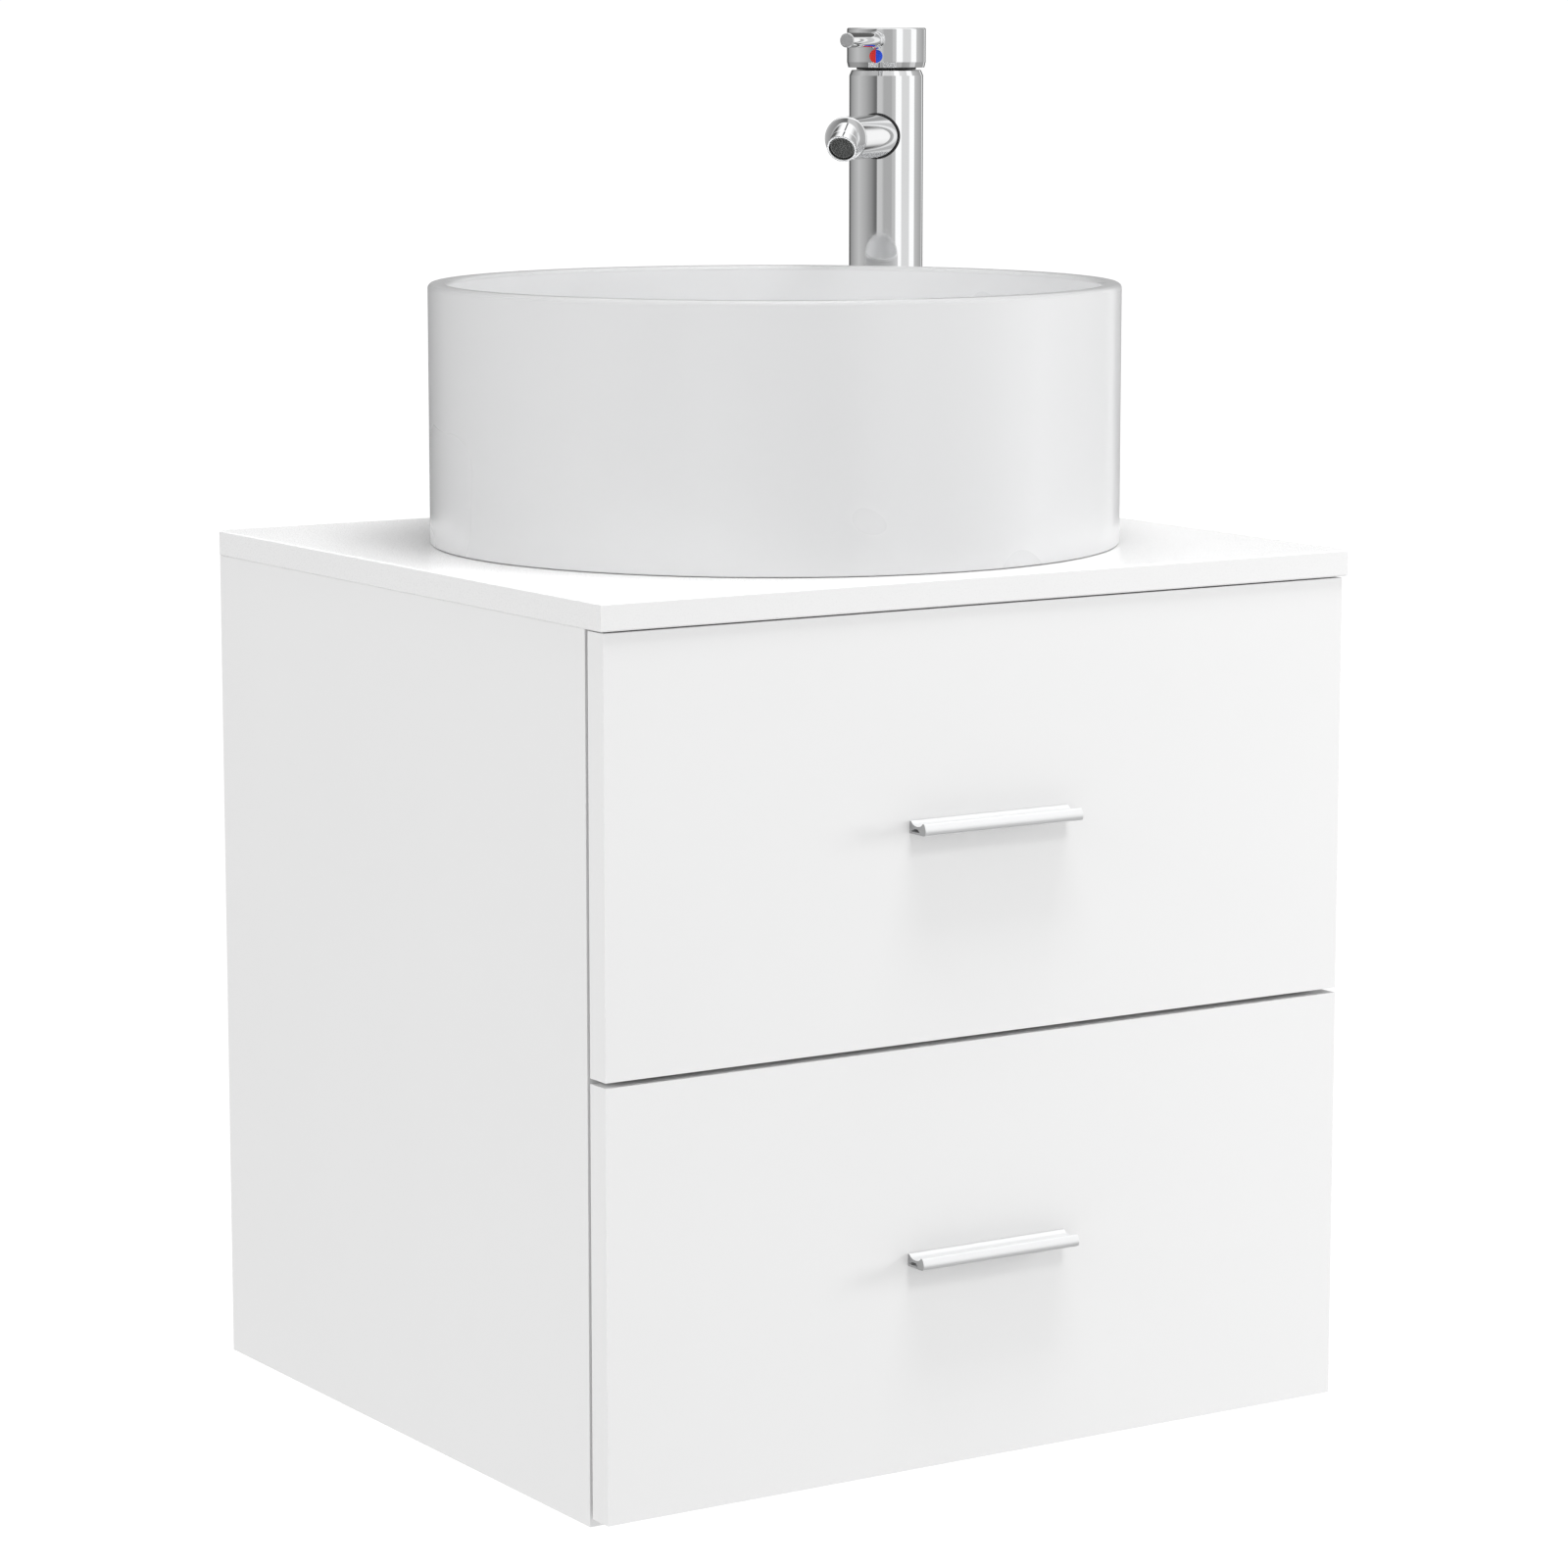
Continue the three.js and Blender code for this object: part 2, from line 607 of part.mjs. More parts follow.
function buildUpperDrawer() {
  const [sideBottom, sideTop] = buildDrawerShell('upper', UPPER_FRONT_Z);
  const backY = DRAWER_BACK_Y - DRAWER_SIDE_THICKNESS;
  const half = DRAWER_INNER_X - GAP;
  for (const [side, sign] of SIDES) {
    const across = onSide(sign, NOTCH_HALF_WIDTH, half);
    const back = box(across, [backY, DRAWER_BACK_Y], [sideBottom, sideTop]);
    add(`upper_drawer_back_${side}`, back, drawerBoard);
  }

  const bottomLevel = sideBottom + DRAWER_BOTTOM_LIFT;
  const bottomZ = [bottomLevel, bottomLevel + DRAWER_BOTTOM_THICKNESS];
  const backEdge = backY - GAP;
  add('upper_drawer_bottom', extrudeAlongZ([
    [-half, DRAWER_FRONT_Y],
    [half, DRAWER_FRONT_Y],
    [half, backEdge],
    [NOTCH_HALF_WIDTH, backEdge],
    [NOTCH_HALF_WIDTH, NOTCH_FRONT_Y],
    [-NOTCH_HALF_WIDTH, NOTCH_FRONT_Y],
    [-NOTCH_HALF_WIDTH, backEdge],
    [-half, backEdge],
  ], ...bottomZ), drawerBoard);

  const outerX = NOTCH_HALF_WIDTH + DRAWER_SIDE_THICKNESS;
  const outerY = NOTCH_FRONT_Y - DRAWER_SIDE_THICKNESS;
  add('upper_drawer_pipe_surround', extrudeAlongZ([
    [-outerX, outerY],
    [outerX, outerY],
    [outerX, backEdge],
    [NOTCH_HALF_WIDTH, backEdge],
    [NOTCH_HALF_WIDTH, NOTCH_FRONT_Y],
    [-NOTCH_HALF_WIDTH, NOTCH_FRONT_Y],
    [-NOTCH_HALF_WIDTH, backEdge],
    [-outerX, backEdge],
  ], bottomZ[1] + GAP, sideTop), drawerBoard);
}

function buildLowerDrawer() {
  const [sideBottom, sideTop] = buildDrawerShell('lower', LOWER_FRONT_Z);
  const backY = DRAWER_BACK_Y - DRAWER_SIDE_THICKNESS;
  const half = DRAWER_INNER_X - GAP;
  const bottomLevel = sideBottom + DRAWER_BOTTOM_LIFT;
  const bottomZ = [bottomLevel, bottomLevel + DRAWER_BOTTOM_THICKNESS];
  add('lower_drawer_back', box([-half, half], [backY, DRAWER_BACK_Y], [sideBottom, sideTop]), drawerBoard);
  add('lower_drawer_bottom', box([-half, half], [DRAWER_FRONT_Y, backY - GAP], bottomZ), drawerBoard);
}

// Extruded bar handle: flat back, finger scoop on top, rounded nose and a hollow chamber.
// Drawn as [distance from the drawer front, height], then turned to face -Y.
function handleSection() {
  const top = 4.4;
  const underside = -2.6;
  const scoopRadius = 10.5;
  const scoopAngle = 32; // half of the scoop's arc
  const scoopDepth = 7.3; // the scoop's lowest point, from the drawer front
  const scoopCentre = top + scoopRadius * Math.cos(THREE.MathUtils.degToRad(scoopAngle));
  const outline = [
    [GAP, top],
    ...arc(scoopDepth, scoopCentre, scoopRadius, -90 - scoopAngle, -90 + scoopAngle, 7),
    [13.7, top],
    [15.1, 2.4],
    [15.9, 0.1],
    [16, -1.6],
    [15.2, underside],
    [GAP, underside],
  ];
  const chamber = [[1.6, -1.5], [9.6, -1.3], [8.4, 0.2], [5, 0.6], [1.6, -0.5]];
  const facing = ([depth, height]) => [-depth, height];
  return [outline.map(facing).reverse(), chamber.map(facing).reverse()];
}

function buildHandles() {
  const [outline, chamber] = handleSection();
  for (const [drawer, frontZ] of [['upper', UPPER_FRONT_Z], ['lower', LOWER_FRONT_Z]]) {
    const bar = extrudeAlongX(outline, -HANDLE_LENGTH / 2, HANDLE_LENGTH / 2, [chamber])
      .translate(0, FRONT_FACE_Y, frontZ + FRONT_HEIGHT / 2);
    add(`${drawer}_drawer_handle`, bar, satinAluminium);
  }
}

// ---------------------------------------------------------------- telescopic slides

// A C-shaped rolled section in the X-Z plane. `web` and `lip` are X positions, one for the outer
// face of the web and one for the free edge of the two flanges.
function channelSection(web, lip, height, centreZ) {
  const towards = Math.sign(lip - web);
  const inside = web + towards * SLIDE_SHEET;
  const top = height / 2;
  const shelf = top - SLIDE_SHEET;
  const outline = [
    [web, -top],
    [lip, -top],
    [lip, -shelf],
    [inside, -shelf],
    [inside, shelf],
    [lip, shelf],
    [lip, top],
    [web, top],
  ].map(([x, z]) => [x, z + centreZ]);
  return towards > 0 ? outline : outline.reverse();
}

function buildSlides() {
  const slideY = [SLIDE_FRONT_Y, SLIDE_FRONT_Y + SLIDE_LENGTH];
  // Depth of each member's web and free edges, from the cabinet's inner face towards the drawer.
  const members = [
    ['cabinet', GAP, 8.6, SLIDE_HEIGHT],
    ['middle', 2.4, 10.2, SLIDE_HEIGHT - 5.6],
    ['drawer', 12.6, 5.0, SLIDE_HEIGHT - 11.2],
  ];
  for (const [drawer, frontZ] of [['upper', UPPER_FRONT_Z], ['lower', LOWER_FRONT_Z]]) {
    const centreZ = frontZ + DRAWER_SIDE_LIFT + DRAWER_SIDE_HEIGHT / 2;
    for (const [side, sign] of SIDES) {
      for (const [member, web, lip, height] of members) {
        const section = channelSection(sign * (INNER_X - web), sign * (INNER_X - lip), height, centreZ);
        add(`${drawer}_slide_${member}_${side}`, extrudeAlongY(section, ...slideY), zincSteel);
      }
    }
  }
}

buildCarcass();
buildCounter();
buildBasin();
buildWaste();
buildTrap();
buildTap();
buildUpperDrawer();
buildLowerDrawer();
buildHandles();
buildSlides();

export default vanity;
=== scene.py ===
import math

import bmesh
import bpy
from mathutils import Matrix, Vector


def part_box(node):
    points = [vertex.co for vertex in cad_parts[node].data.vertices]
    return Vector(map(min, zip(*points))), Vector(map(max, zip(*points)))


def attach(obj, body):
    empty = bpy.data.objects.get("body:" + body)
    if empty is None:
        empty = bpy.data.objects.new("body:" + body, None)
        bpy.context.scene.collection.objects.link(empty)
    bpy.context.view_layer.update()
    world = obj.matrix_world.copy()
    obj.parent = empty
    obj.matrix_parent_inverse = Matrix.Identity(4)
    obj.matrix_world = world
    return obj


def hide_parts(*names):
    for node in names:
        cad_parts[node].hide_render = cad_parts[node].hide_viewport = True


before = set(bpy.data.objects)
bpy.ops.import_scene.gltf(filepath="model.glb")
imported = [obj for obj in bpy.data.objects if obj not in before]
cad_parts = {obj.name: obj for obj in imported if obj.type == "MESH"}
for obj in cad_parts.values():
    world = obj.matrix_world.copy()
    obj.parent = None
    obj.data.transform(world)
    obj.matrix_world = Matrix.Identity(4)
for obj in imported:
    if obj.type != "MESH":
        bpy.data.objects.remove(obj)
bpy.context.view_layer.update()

MM = 0.001


# ------------------------------------------------------------------ places read from the frame

def middle(node):
    """The middle of a node's box."""
    low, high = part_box(node)
    return (Vector(low) + Vector(high)) / 2


def low(node):
    return Vector(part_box(node)[0])


def high(node):
    return Vector(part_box(node)[1])


COUNTER_Z = high("counter_top").z
BASIN_AXIS = middle("basin")
TAP_AXIS = middle("tap_base_gasket")
FRONT_FACE_Y = low("upper_drawer_front").y
WALL_Y = high("side_panel_left").y
TRAP_PIPE = middle("trap_outlet_tube")

# The spout points from the tap's axis to the end of the spout.
SPOUT_TURN = math.radians(49)
TAP_FRAME = Matrix.Translation((TAP_AXIS.x, TAP_AXIS.y, COUNTER_Z)) @ Matrix.Rotation(-SPOUT_TURN, 4, "Z")
BASIN_FRAME = Matrix.Translation((BASIN_AXIS.x, BASIN_AXIS.y, COUNTER_Z))


# ------------------------------------------------------------------ materials

def new_material(name):
    material = bpy.data.materials.new(name)
    material.use_nodes = True
    nodes = material.node_tree.nodes
    nodes.clear()
    shader = nodes.new("ShaderNodeBsdfPrincipled")
    output = nodes.new("ShaderNodeOutputMaterial")
    material.node_tree.links.new(shader.outputs["BSDF"], output.inputs["Surface"])
    return material, nodes, material.node_tree.links, shader


def object_position(nodes, links, scale=(1, 1, 1)):
    """The point on the object in its own metres, stretched by a scale."""
    place = nodes.new("ShaderNodeTexCoord")
    stretch = nodes.new("ShaderNodeMapping")
    stretch.inputs["Scale"].default_value = scale
    links.new(place.outputs["Object"], stretch.inputs["Vector"])
    return stretch.outputs["Vector"]


def noise(nodes, links, position, scale, detail=3.0, roughness=0.5):
    texture = nodes.new("ShaderNodeTexNoise")
    texture.inputs["Scale"].default_value = scale
    texture.inputs["Detail"].default_value = detail
    texture.inputs["Roughness"].default_value = roughness
    links.new(position, texture.inputs["Vector"])
    return texture.outputs["Fac"]


def remap(nodes, links, value, from_low, from_high, to_low, to_high):
    node = nodes.new("ShaderNodeMapRange")
    node.inputs["From Min"].default_value = from_low
    node.inputs["From Max"].default_value = from_high
    node.inputs["To Min"].default_value = to_low
    node.inputs["To Max"].default_value = to_high
    links.new(value, node.inputs["Value"])
    return node.outputs["Result"]


def blend_colour(nodes, links, factor, first, second):
    node = nodes.new("ShaderNodeMix")
    node.data_type = "RGBA"
    node.inputs["A"].default_value = (*first, 1)
    node.inputs["B"].default_value = (*second, 1)
    links.new(factor, node.inputs["Factor"])
    return node.outputs["Result"]


def add_bump(nodes, links, shader, height, strength, distance, under=None):
    bump = nodes.new("ShaderNodeBump")
    bump.inputs["Strength"].default_value = strength
    bump.inputs["Distance"].default_value = distance
    links.new(height, bump.inputs["Height"])
    if under is not None:
        links.new(under, bump.inputs["Normal"])
    links.new(bump.outputs["Normal"], shader.inputs["Normal"])
    return bump.outputs["Normal"]


def board(name, colour, roughness, grain=(1, 1, 1), pore=0.02):
    """Coated board: a fine pearl in the coating, slight waviness, and a little variation in gloss."""
    material, nodes, links, shader = new_material(name)
    position = object_position(nodes, links, grain)
    cloud = noise(nodes, links, position, 9, 2)
    pearl = noise(nodes, links, position, 1400, 2, 0.6)
    ripple = noise(nodes, links, position, 60, 2)
    darker = tuple(channel * 0.985 for channel in colour)
    links.new(blend_colour(nodes, links, cloud, darker, colour), shader.inputs["Base Color"])
    gloss = remap(nodes, links, pearl, 0.3, 0.7, roughness - 0.05, roughness + 0.05)
    links.new(gloss, shader.inputs["Roughness"])
    shader.inputs["Specular IOR Level"].default_value = 0.4
    wavy = add_bump(nodes, links, shader, ripple, 0.04, 0.0006)
    add_bump(nodes, links, shader, pearl, pore, 0.0002, wavy)
    return material


def glaze(name, colour, rim_z):
    """Glazed ceramic: clear gloss over white, slightly wavy, and greyer on the rim: painted shade on the rim's top,
    held back against the strong light from above.
    """
    material, nodes, links, shader = new_material(name)
    position = object_position(nodes, links)
    cloud = noise(nodes, links, position, 5, 2)
    cooler = tuple(channel * factor for channel, factor in zip(colour, (0.98, 0.985, 0.99)))
    height = nodes.new("ShaderNodeSeparateXYZ")
    links.new(position, height.inputs["Vector"])
    # Painted shade: the colour is darkened to 0.64 on the rim's top, where the light from above falls strongest.
    rim_painted_shade = remap(nodes, links, height.outputs["Z"], rim_z - 3 * MM, rim_z - 0.8 * MM, 1, 0.64)
    whole = nodes.new("ShaderNodeVectorMath")
    whole.operation = "SCALE"
    links.new(blend_colour(nodes, links, cloud, cooler, colour), whole.inputs["Vector"])
    links.new(rim_painted_shade, whole.inputs["Scale"])
    links.new(whole.outputs["Vector"], shader.inputs["Base Color"])
    skin = noise(nodes, links, position, 38, 2)
    links.new(remap(nodes, links, cloud, 0.3, 0.7, 0.26, 0.32), shader.inputs["Roughness"])
    shader.inputs["Coat Weight"].default_value = 0.25
    shader.inputs["Coat Roughness"].default_value = 0.12
    add_bump(nodes, links, shader, skin, 0.03, 0.0006)
    return material


def metal(name, colour, roughness, brushing=None, depth=0.03, variation=0.03, metallic=1.0):
    """Metal with fine marks. `brushing` stretches the marks along one axis."""
    material, nodes, links, shader = new_material(name)
    shader.inputs["Metallic"].default_value = metallic
    marks_at = object_position(nodes, links, brushing or (1, 1, 1))
    marks = noise(nodes, links, marks_at, 900, 3, 0.6)
    cloud = noise(nodes, links, object_position(nodes, links), 30, 2)
    darker = tuple(channel * 0.96 for channel in colour)
    links.new(blend_colour(nodes, links, cloud, darker, colour), shader.inputs["Base Color"])
    low_gloss = max(0.0, roughness - variation)
    links.new(remap(nodes, links, marks, 0.3, 0.7, low_gloss, roughness + variation), shader.inputs["Roughness"])
    add_bump(nodes, links, shader, marks, depth, 0.00005)
    return material


def plastic(name, colour, roughness, grain=0.15):
    material, nodes, links, shader = new_material(name)
    position = object_position(nodes, links)
    fine = noise(nodes, links, position, 1500, 2)
    cloud = noise(nodes, links, position, 60, 2)
    lighter = tuple(min(1.0, channel * 1.12 + 0.004) for channel in colour)
    links.new(blend_colour(nodes, links, cloud, colour, lighter), shader.inputs["Base Color"])
    links.new(remap(nodes, links, cloud, 0.3, 0.7, roughness - 0.04, roughness + 0.04), shader.inputs["Roughness"])
    add_bump(nodes, links, shader, fine, grain, 0.0001)
    return material


MATERIALS = {
    "white_board": board("white_melamine", (0.785, 0.785, 0.785), 0.42),
    "counter_board": board("counter_laminate", (0.785, 0.785, 0.785), 0.3, pore=0.01),
    "drawer_board": board("drawer_coating", (0.76, 0.76, 0.752), 0.55, pore=0.05),
    "glazed_ceramic": glaze("white_glaze", (0.664, 0.665, 0.668), high("basin").z),
    "chrome": metal("polished_chrome", (0.80, 0.805, 0.81), 0.045, depth=0.004, variation=0.012),
    "satin_aluminium": metal(
        "satin_aluminium", (0.85, 0.855, 0.86), 0.36, brushing=(0.02, 1, 1), depth=0.02, metallic=0.6,
    ),
    # Painted shade: a darker aluminium for the handles' end faces, standing in for the shade on them; the cut marks in
    # it are real.
    "sawn_painted_shade_aluminium": metal("sawn_painted_shade_aluminium", (0.47, 0.473, 0.477), 0.4, brushing=(1, 1, 0.05), depth=0.08),
    "zinc_steel": metal("bright_zinc", (0.60, 0.62, 0.64), 0.32, brushing=(1, 0.03, 1), depth=0.08),
    "brass": metal("machined_brass", (0.70, 0.53, 0.27), 0.25, brushing=(1, 1, 4), depth=0.05),
    "black_rubber": plastic("black_rubber", (0.012, 0.012, 0.013), 0.75),
    "dark_plastic": plastic("dark_plastic", (0.03, 0.03, 0.032), 0.5),
    "grey_plastic": plastic("grey_plastic", (0.11, 0.113, 0.11), 0.45),
}


# ------------------------------------------------------------------ mesh helpers

def finish_piece(obj, slot, body, replaces=(), material=None):
    obj.data.materials.clear()
    obj.data.materials.append(material or MATERIALS[slot])
    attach(obj, body)
    if replaces:
        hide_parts(*replaces)
    return obj


def mesh_object(name, vertices, faces, sharp_angle=40):
    """A mesh object with smooth shading, and hard edges where the surface turns sharply."""
    mesh = bpy.data.meshes.new(name)
    mesh.from_pydata([tuple(v) for v in vertices], [], faces)
    work = bmesh.new()
    work.from_mesh(mesh)
    bmesh.ops.recalc_face_normals(work, faces=work.faces)
    for face in work.faces:
        face.smooth = True
    for edge in work.edges:
        if len(edge.link_faces) == 2:
            edge.smooth = edge.calc_face_angle() < math.radians(sharp_angle)
    work.to_mesh(mesh)
    work.free()
    obj = bpy.data.objects.new(name, mesh)
    bpy.context.scene.collection.objects.link(obj)
    weigh_normals(obj)
    return obj


def weigh_normals(obj):
    """Large faces keep their own direction, so flat ends and long walls mirror without a false gradient."""
    modifier = obj.modifiers.new("area_normals", "WEIGHTED_NORMAL")
    modifier.mode = "FACE_AREA"
    modifier.keep_sharp = True


def rounded(outline, closed, steps=5):
    """An outline of (x, y) or (x, y, radius) points with its corners rounded by arcs."""
    count = len(outline)
    result = []
    for i, point in enumerate(outline):
        here = Vector(point[:2])
        radius = point[2] if len(point) > 2 else 0
        if radius == 0 or (not closed and i in (0, count - 1)):
            result.append(here)
            continue
        to_last = Vector(outline[i - 1][:2]) - here
        to_next = Vector(outline[(i + 1) % count][:2]) - here
        half = to_last.angle(to_next) / 2
        reach = radius / math.tan(half)
        start = here + to_last.normalized() * reach
        end = here + to_next.normalized() * reach
        centre = here + (to_last.normalized() + to_next.normalized()).normalized() * radius / math.sin(half)
        first = start - centre
        turn = first.angle_signed(end - centre)
        for k in range(steps + 1):
            result.append(centre + Matrix.Rotation(-turn * k / steps, 2) @ first)
    return result


def turned(name, profile, segments=96, placed=Matrix(), closed=False, steps=5):
    """A turned piece: a profile of (radius, z, corner radius) in mm, spun round Z, then placed."""
    points = rounded(profile, closed, steps)
    rings = []
    vertices = []
    for point in points:
        if point.x < 1e-6:
            rings.append([len(vertices)])
            vertices.append(Vector((0, 0, point.y)))
            continue
        rings.append(list(range(len(vertices), len(vertices) + segments)))
        for s in range(segments):
            angle = 2 * math.pi * s / segments
            vertices.append(Vector((point.x * math.cos(angle), point.x * math.sin(angle), point.y)))
    faces = []
    pairs = list(zip(rings, rings[1:]))
    if closed:
        pairs.append((rings[-1], rings[0]))
    for lower, upper in pairs:
        if len(lower) == 1 and len(upper) == 1:
            continue
        for s in range(segments):
            following = (s + 1) % segments
            corners = [lower[s % len(lower)], lower[following % len(lower)]]
            corners += [upper[following % len(upper)], upper[s % len(upper)]]
            faces.append(list(dict.fromkeys(corners)))
    placed_vertices = [placed @ (v * MM) for v in vertices]
    return mesh_object(name, placed_vertices, faces)


def bevel(obj, width, segments=3, angle=30):
    modifier = obj.modifiers.new("eased_edges", "BEVEL")
    modifier.width = width * MM
    modifier.segments = segments
    modifier.limit_method = "ANGLE"
    modifier.angle_limit = math.radians(angle)
    modifier.harden_normals = True
    for face in obj.data.polygons:
        face.use_smooth = True
    return obj


def box_piece(name, low_corner, high_corner, edge=0.4, segments=2):
    """A block with eased edges, from one corner to the other, in metres."""
    x0, y0, z0 = low_corner
    x1, y1, z1 = high_corner
    corners = [(x, y, z) for z in (z0, z1) for y in (y0, y1) for x in (x0, x1)]
    faces = [(0, 2, 3, 1), (4, 5, 7, 6), (0, 1, 5, 4), (2, 6, 7, 3), (0, 4, 6, 2), (1, 3, 7, 5)]
    obj = mesh_object(name, corners, faces)
    work = bmesh.new()
    work.from_mesh(obj.data)
    bmesh.ops.bevel(
        work, geom=list(work.edges), offset=edge * MM, segments=segments, affect="EDGES", profile=0.5,
    )
    for face in work.faces:
        face.smooth = True
    for line in work.edges:
        line.smooth = True
    work.to_mesh(obj.data)
    work.free()
    return obj


def prism(name, outline, depth, placed, holes=(), edge=0.25, corner_steps=5):
    """A plate of an outline in mm with holes, `depth` mm thick along +Z with eased edges, then placed."""
    curve = bpy.data.curves.new(name, "CURVE")
    curve.dimensions = "2D"
    curve.fill_mode = "BOTH"
    curve.extrude = depth / 2 - edge
    curve.bevel_depth = edge
    curve.bevel_resolution = 2
    curve.offset = -edge
    for loop in (outline, *holes):
        points = rounded(loop, True, corner_steps)
        spline = curve.splines.new("POLY")
        spline.points.add(len(points) - 1)
        spline.use_cyclic_u = True
        for target, point in zip(spline.points, points):
            target.co = (point.x, point.y, 0, 1)
    source = bpy.data.objects.new(name + "_outline", curve)
    bpy.context.scene.collection.objects.link(source)
    evaluated = source.evaluated_get(bpy.context.evaluated_depsgraph_get())
    mesh = bpy.data.meshes.new_from_object(evaluated)
    bpy.data.objects.remove(source)
    work = bmesh.new()
    work.from_mesh(mesh)
    bmesh.ops.remove_doubles(work, verts=work.verts, dist=0.001)
    for vertex in work.verts:
        vertex.co = placed @ ((vertex.co + Vector((0, 0, depth / 2))) * MM)
    bmesh.ops.recalc_face_normals(work, faces=work.faces)
    for face in work.faces:
        face.smooth = True
    for line in work.edges:
        if len(line.link_faces) == 2:
            line.smooth = line.calc_face_angle() < math.radians(40)
    work.to_mesh(mesh)
    work.free()
    mesh.name = name
    obj = bpy.data.objects.new(name, mesh)
    bpy.context.scene.collection.objects.link(obj)
    weigh_normals(obj)
    return obj


def threaded(radius, depth, start, end, pitch):
    """Profile points of a screw thread, drawn as parallel ridges, from one height to another."""
    count = max(1, round(abs(end - start) / pitch))
    step = (end - start) / count
    points = []
    for i in range(count):
        points.append((radius, start + i * step + step * 0.1))
        points.append((radius, start + i * step + step * 0.3))
        points.append((radius - depth, start + i * step + step * 0.6))
        points.append((radius - depth, start + i * step + step * 0.8))
    return points


# Turns a piece drawn along +Z so that it points along -Y (towards the front), or along +Y.
TO_FRONT = Matrix.Rotation(math.pi / 2, 4, "X")
TO_WALL = Matrix.Rotation(-math.pi / 2, 4, "X")


def raised(height):
    return Matrix.Translation((0, 0, height * MM))


# ------------------------------------------------------------------ cabinet boards, kept from the frame

BOARD_EDGE = 0.7


def dress_boards():
    outer = ["side_panel_left", "side_panel_right", "bottom_panel", "back_rail_upper", "back_rail_lower"]
    outer += ["front_rail", "upper_drawer_front", "lower_drawer_front"]
    inner = [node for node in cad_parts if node.startswith(("upper_drawer_", "lower_drawer_"))]
    inner = [node for node in inner if not node.endswith(("_front", "_handle"))]
    for nodes, slot in ((outer, "white_board"), (["counter_top"], "counter_board"), (inner, "drawer_board")):
        for node in nodes:
            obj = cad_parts[node]
            obj.data.materials.clear()
            obj.data.materials.append(MATERIALS[slot])
            bevel(obj, 0.35 if node == "counter_top" else BOARD_EDGE)


def dress_small_frame_parts():
    kept = {
        "wall_hanger_left": "zinc_steel",
        "wall_hanger_right": "zinc_steel",
        "drain_locknut": "chrome",
        "tap_mounting_washer": "zinc_steel",
        "tap_mounting_nut": "brass",
        "tap_cartridge": "brass",
    }
    for node, slot in kept.items():
        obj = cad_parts[node]
        obj.data.materials.clear()
        obj.data.materials.append(MATERIALS[slot])
        bevel(obj, 0.5)


# ------------------------------------------------------------------ basin and waste

def make_basin():
    profile = [
        (23, 0.3), (45, 0.3, 0.4), (48, 4, 1), (176, 4, 1), (179, 0.3, 0.4),
        (199.5, 0.3, 0.9), (199.5, 149.5, 3), (188.5, 149.5, 2.6), (187.5, 16.4, 48),
        (36, 13, 3), (33.5, 9, 0.8), (23, 9, 0.8),
    ]
    bowl = turned("basin_glazed", profile, 256, BASIN_FRAME, closed=True, steps=14)
    finish_piece(bowl, "glazed_ceramic", "cabinet", ["basin"])


def make_waste():
    body = [
        (18.6, -62, 0.4), (20.6, -62, 0.4), *threaded(20.9, 0.7, -60, -17, 1.8),
        (20.9, 9.3), (32.5, 9.3, 0.4), (32.5, 10.9, 0.8), (30.5, 11.9, 1.5), (24, 11.4, 3),
        (21, 9.3, 1), (18.6, 6.3, 1),
    ]
    waste = turned("waste_flange_and_tube", body, 96, BASIN_FRAME, closed=True)
    finish_piece(waste, "chrome", "cabinet", ["drain_body"])

    plug = [
        (0, -34), (4, -34, 0.6), (4, 4.3, 1), (17.6, 5.9, 0.6), (19.4, 9.9, 0.6), (19.4, 11.3, 1.1),
        (12, 12.9, 14), (0, 13.5),
    ]
    finish_piece(turned("waste_plug", plug, 96, BASIN_FRAME), "chrome", "drain_plug", ["drain_plug"])

    gasket = [(21.2, -18.8, 0.8), (32, -18.8, 0.8), (32, -15.3, 0.8), (21.2, -15.3, 0.8)]
    finish_piece(
        turned("waste_gasket", gasket, 96, BASIN_FRAME, closed=True), "black_rubber", "cabinet", ["drain_gasket"],
    )


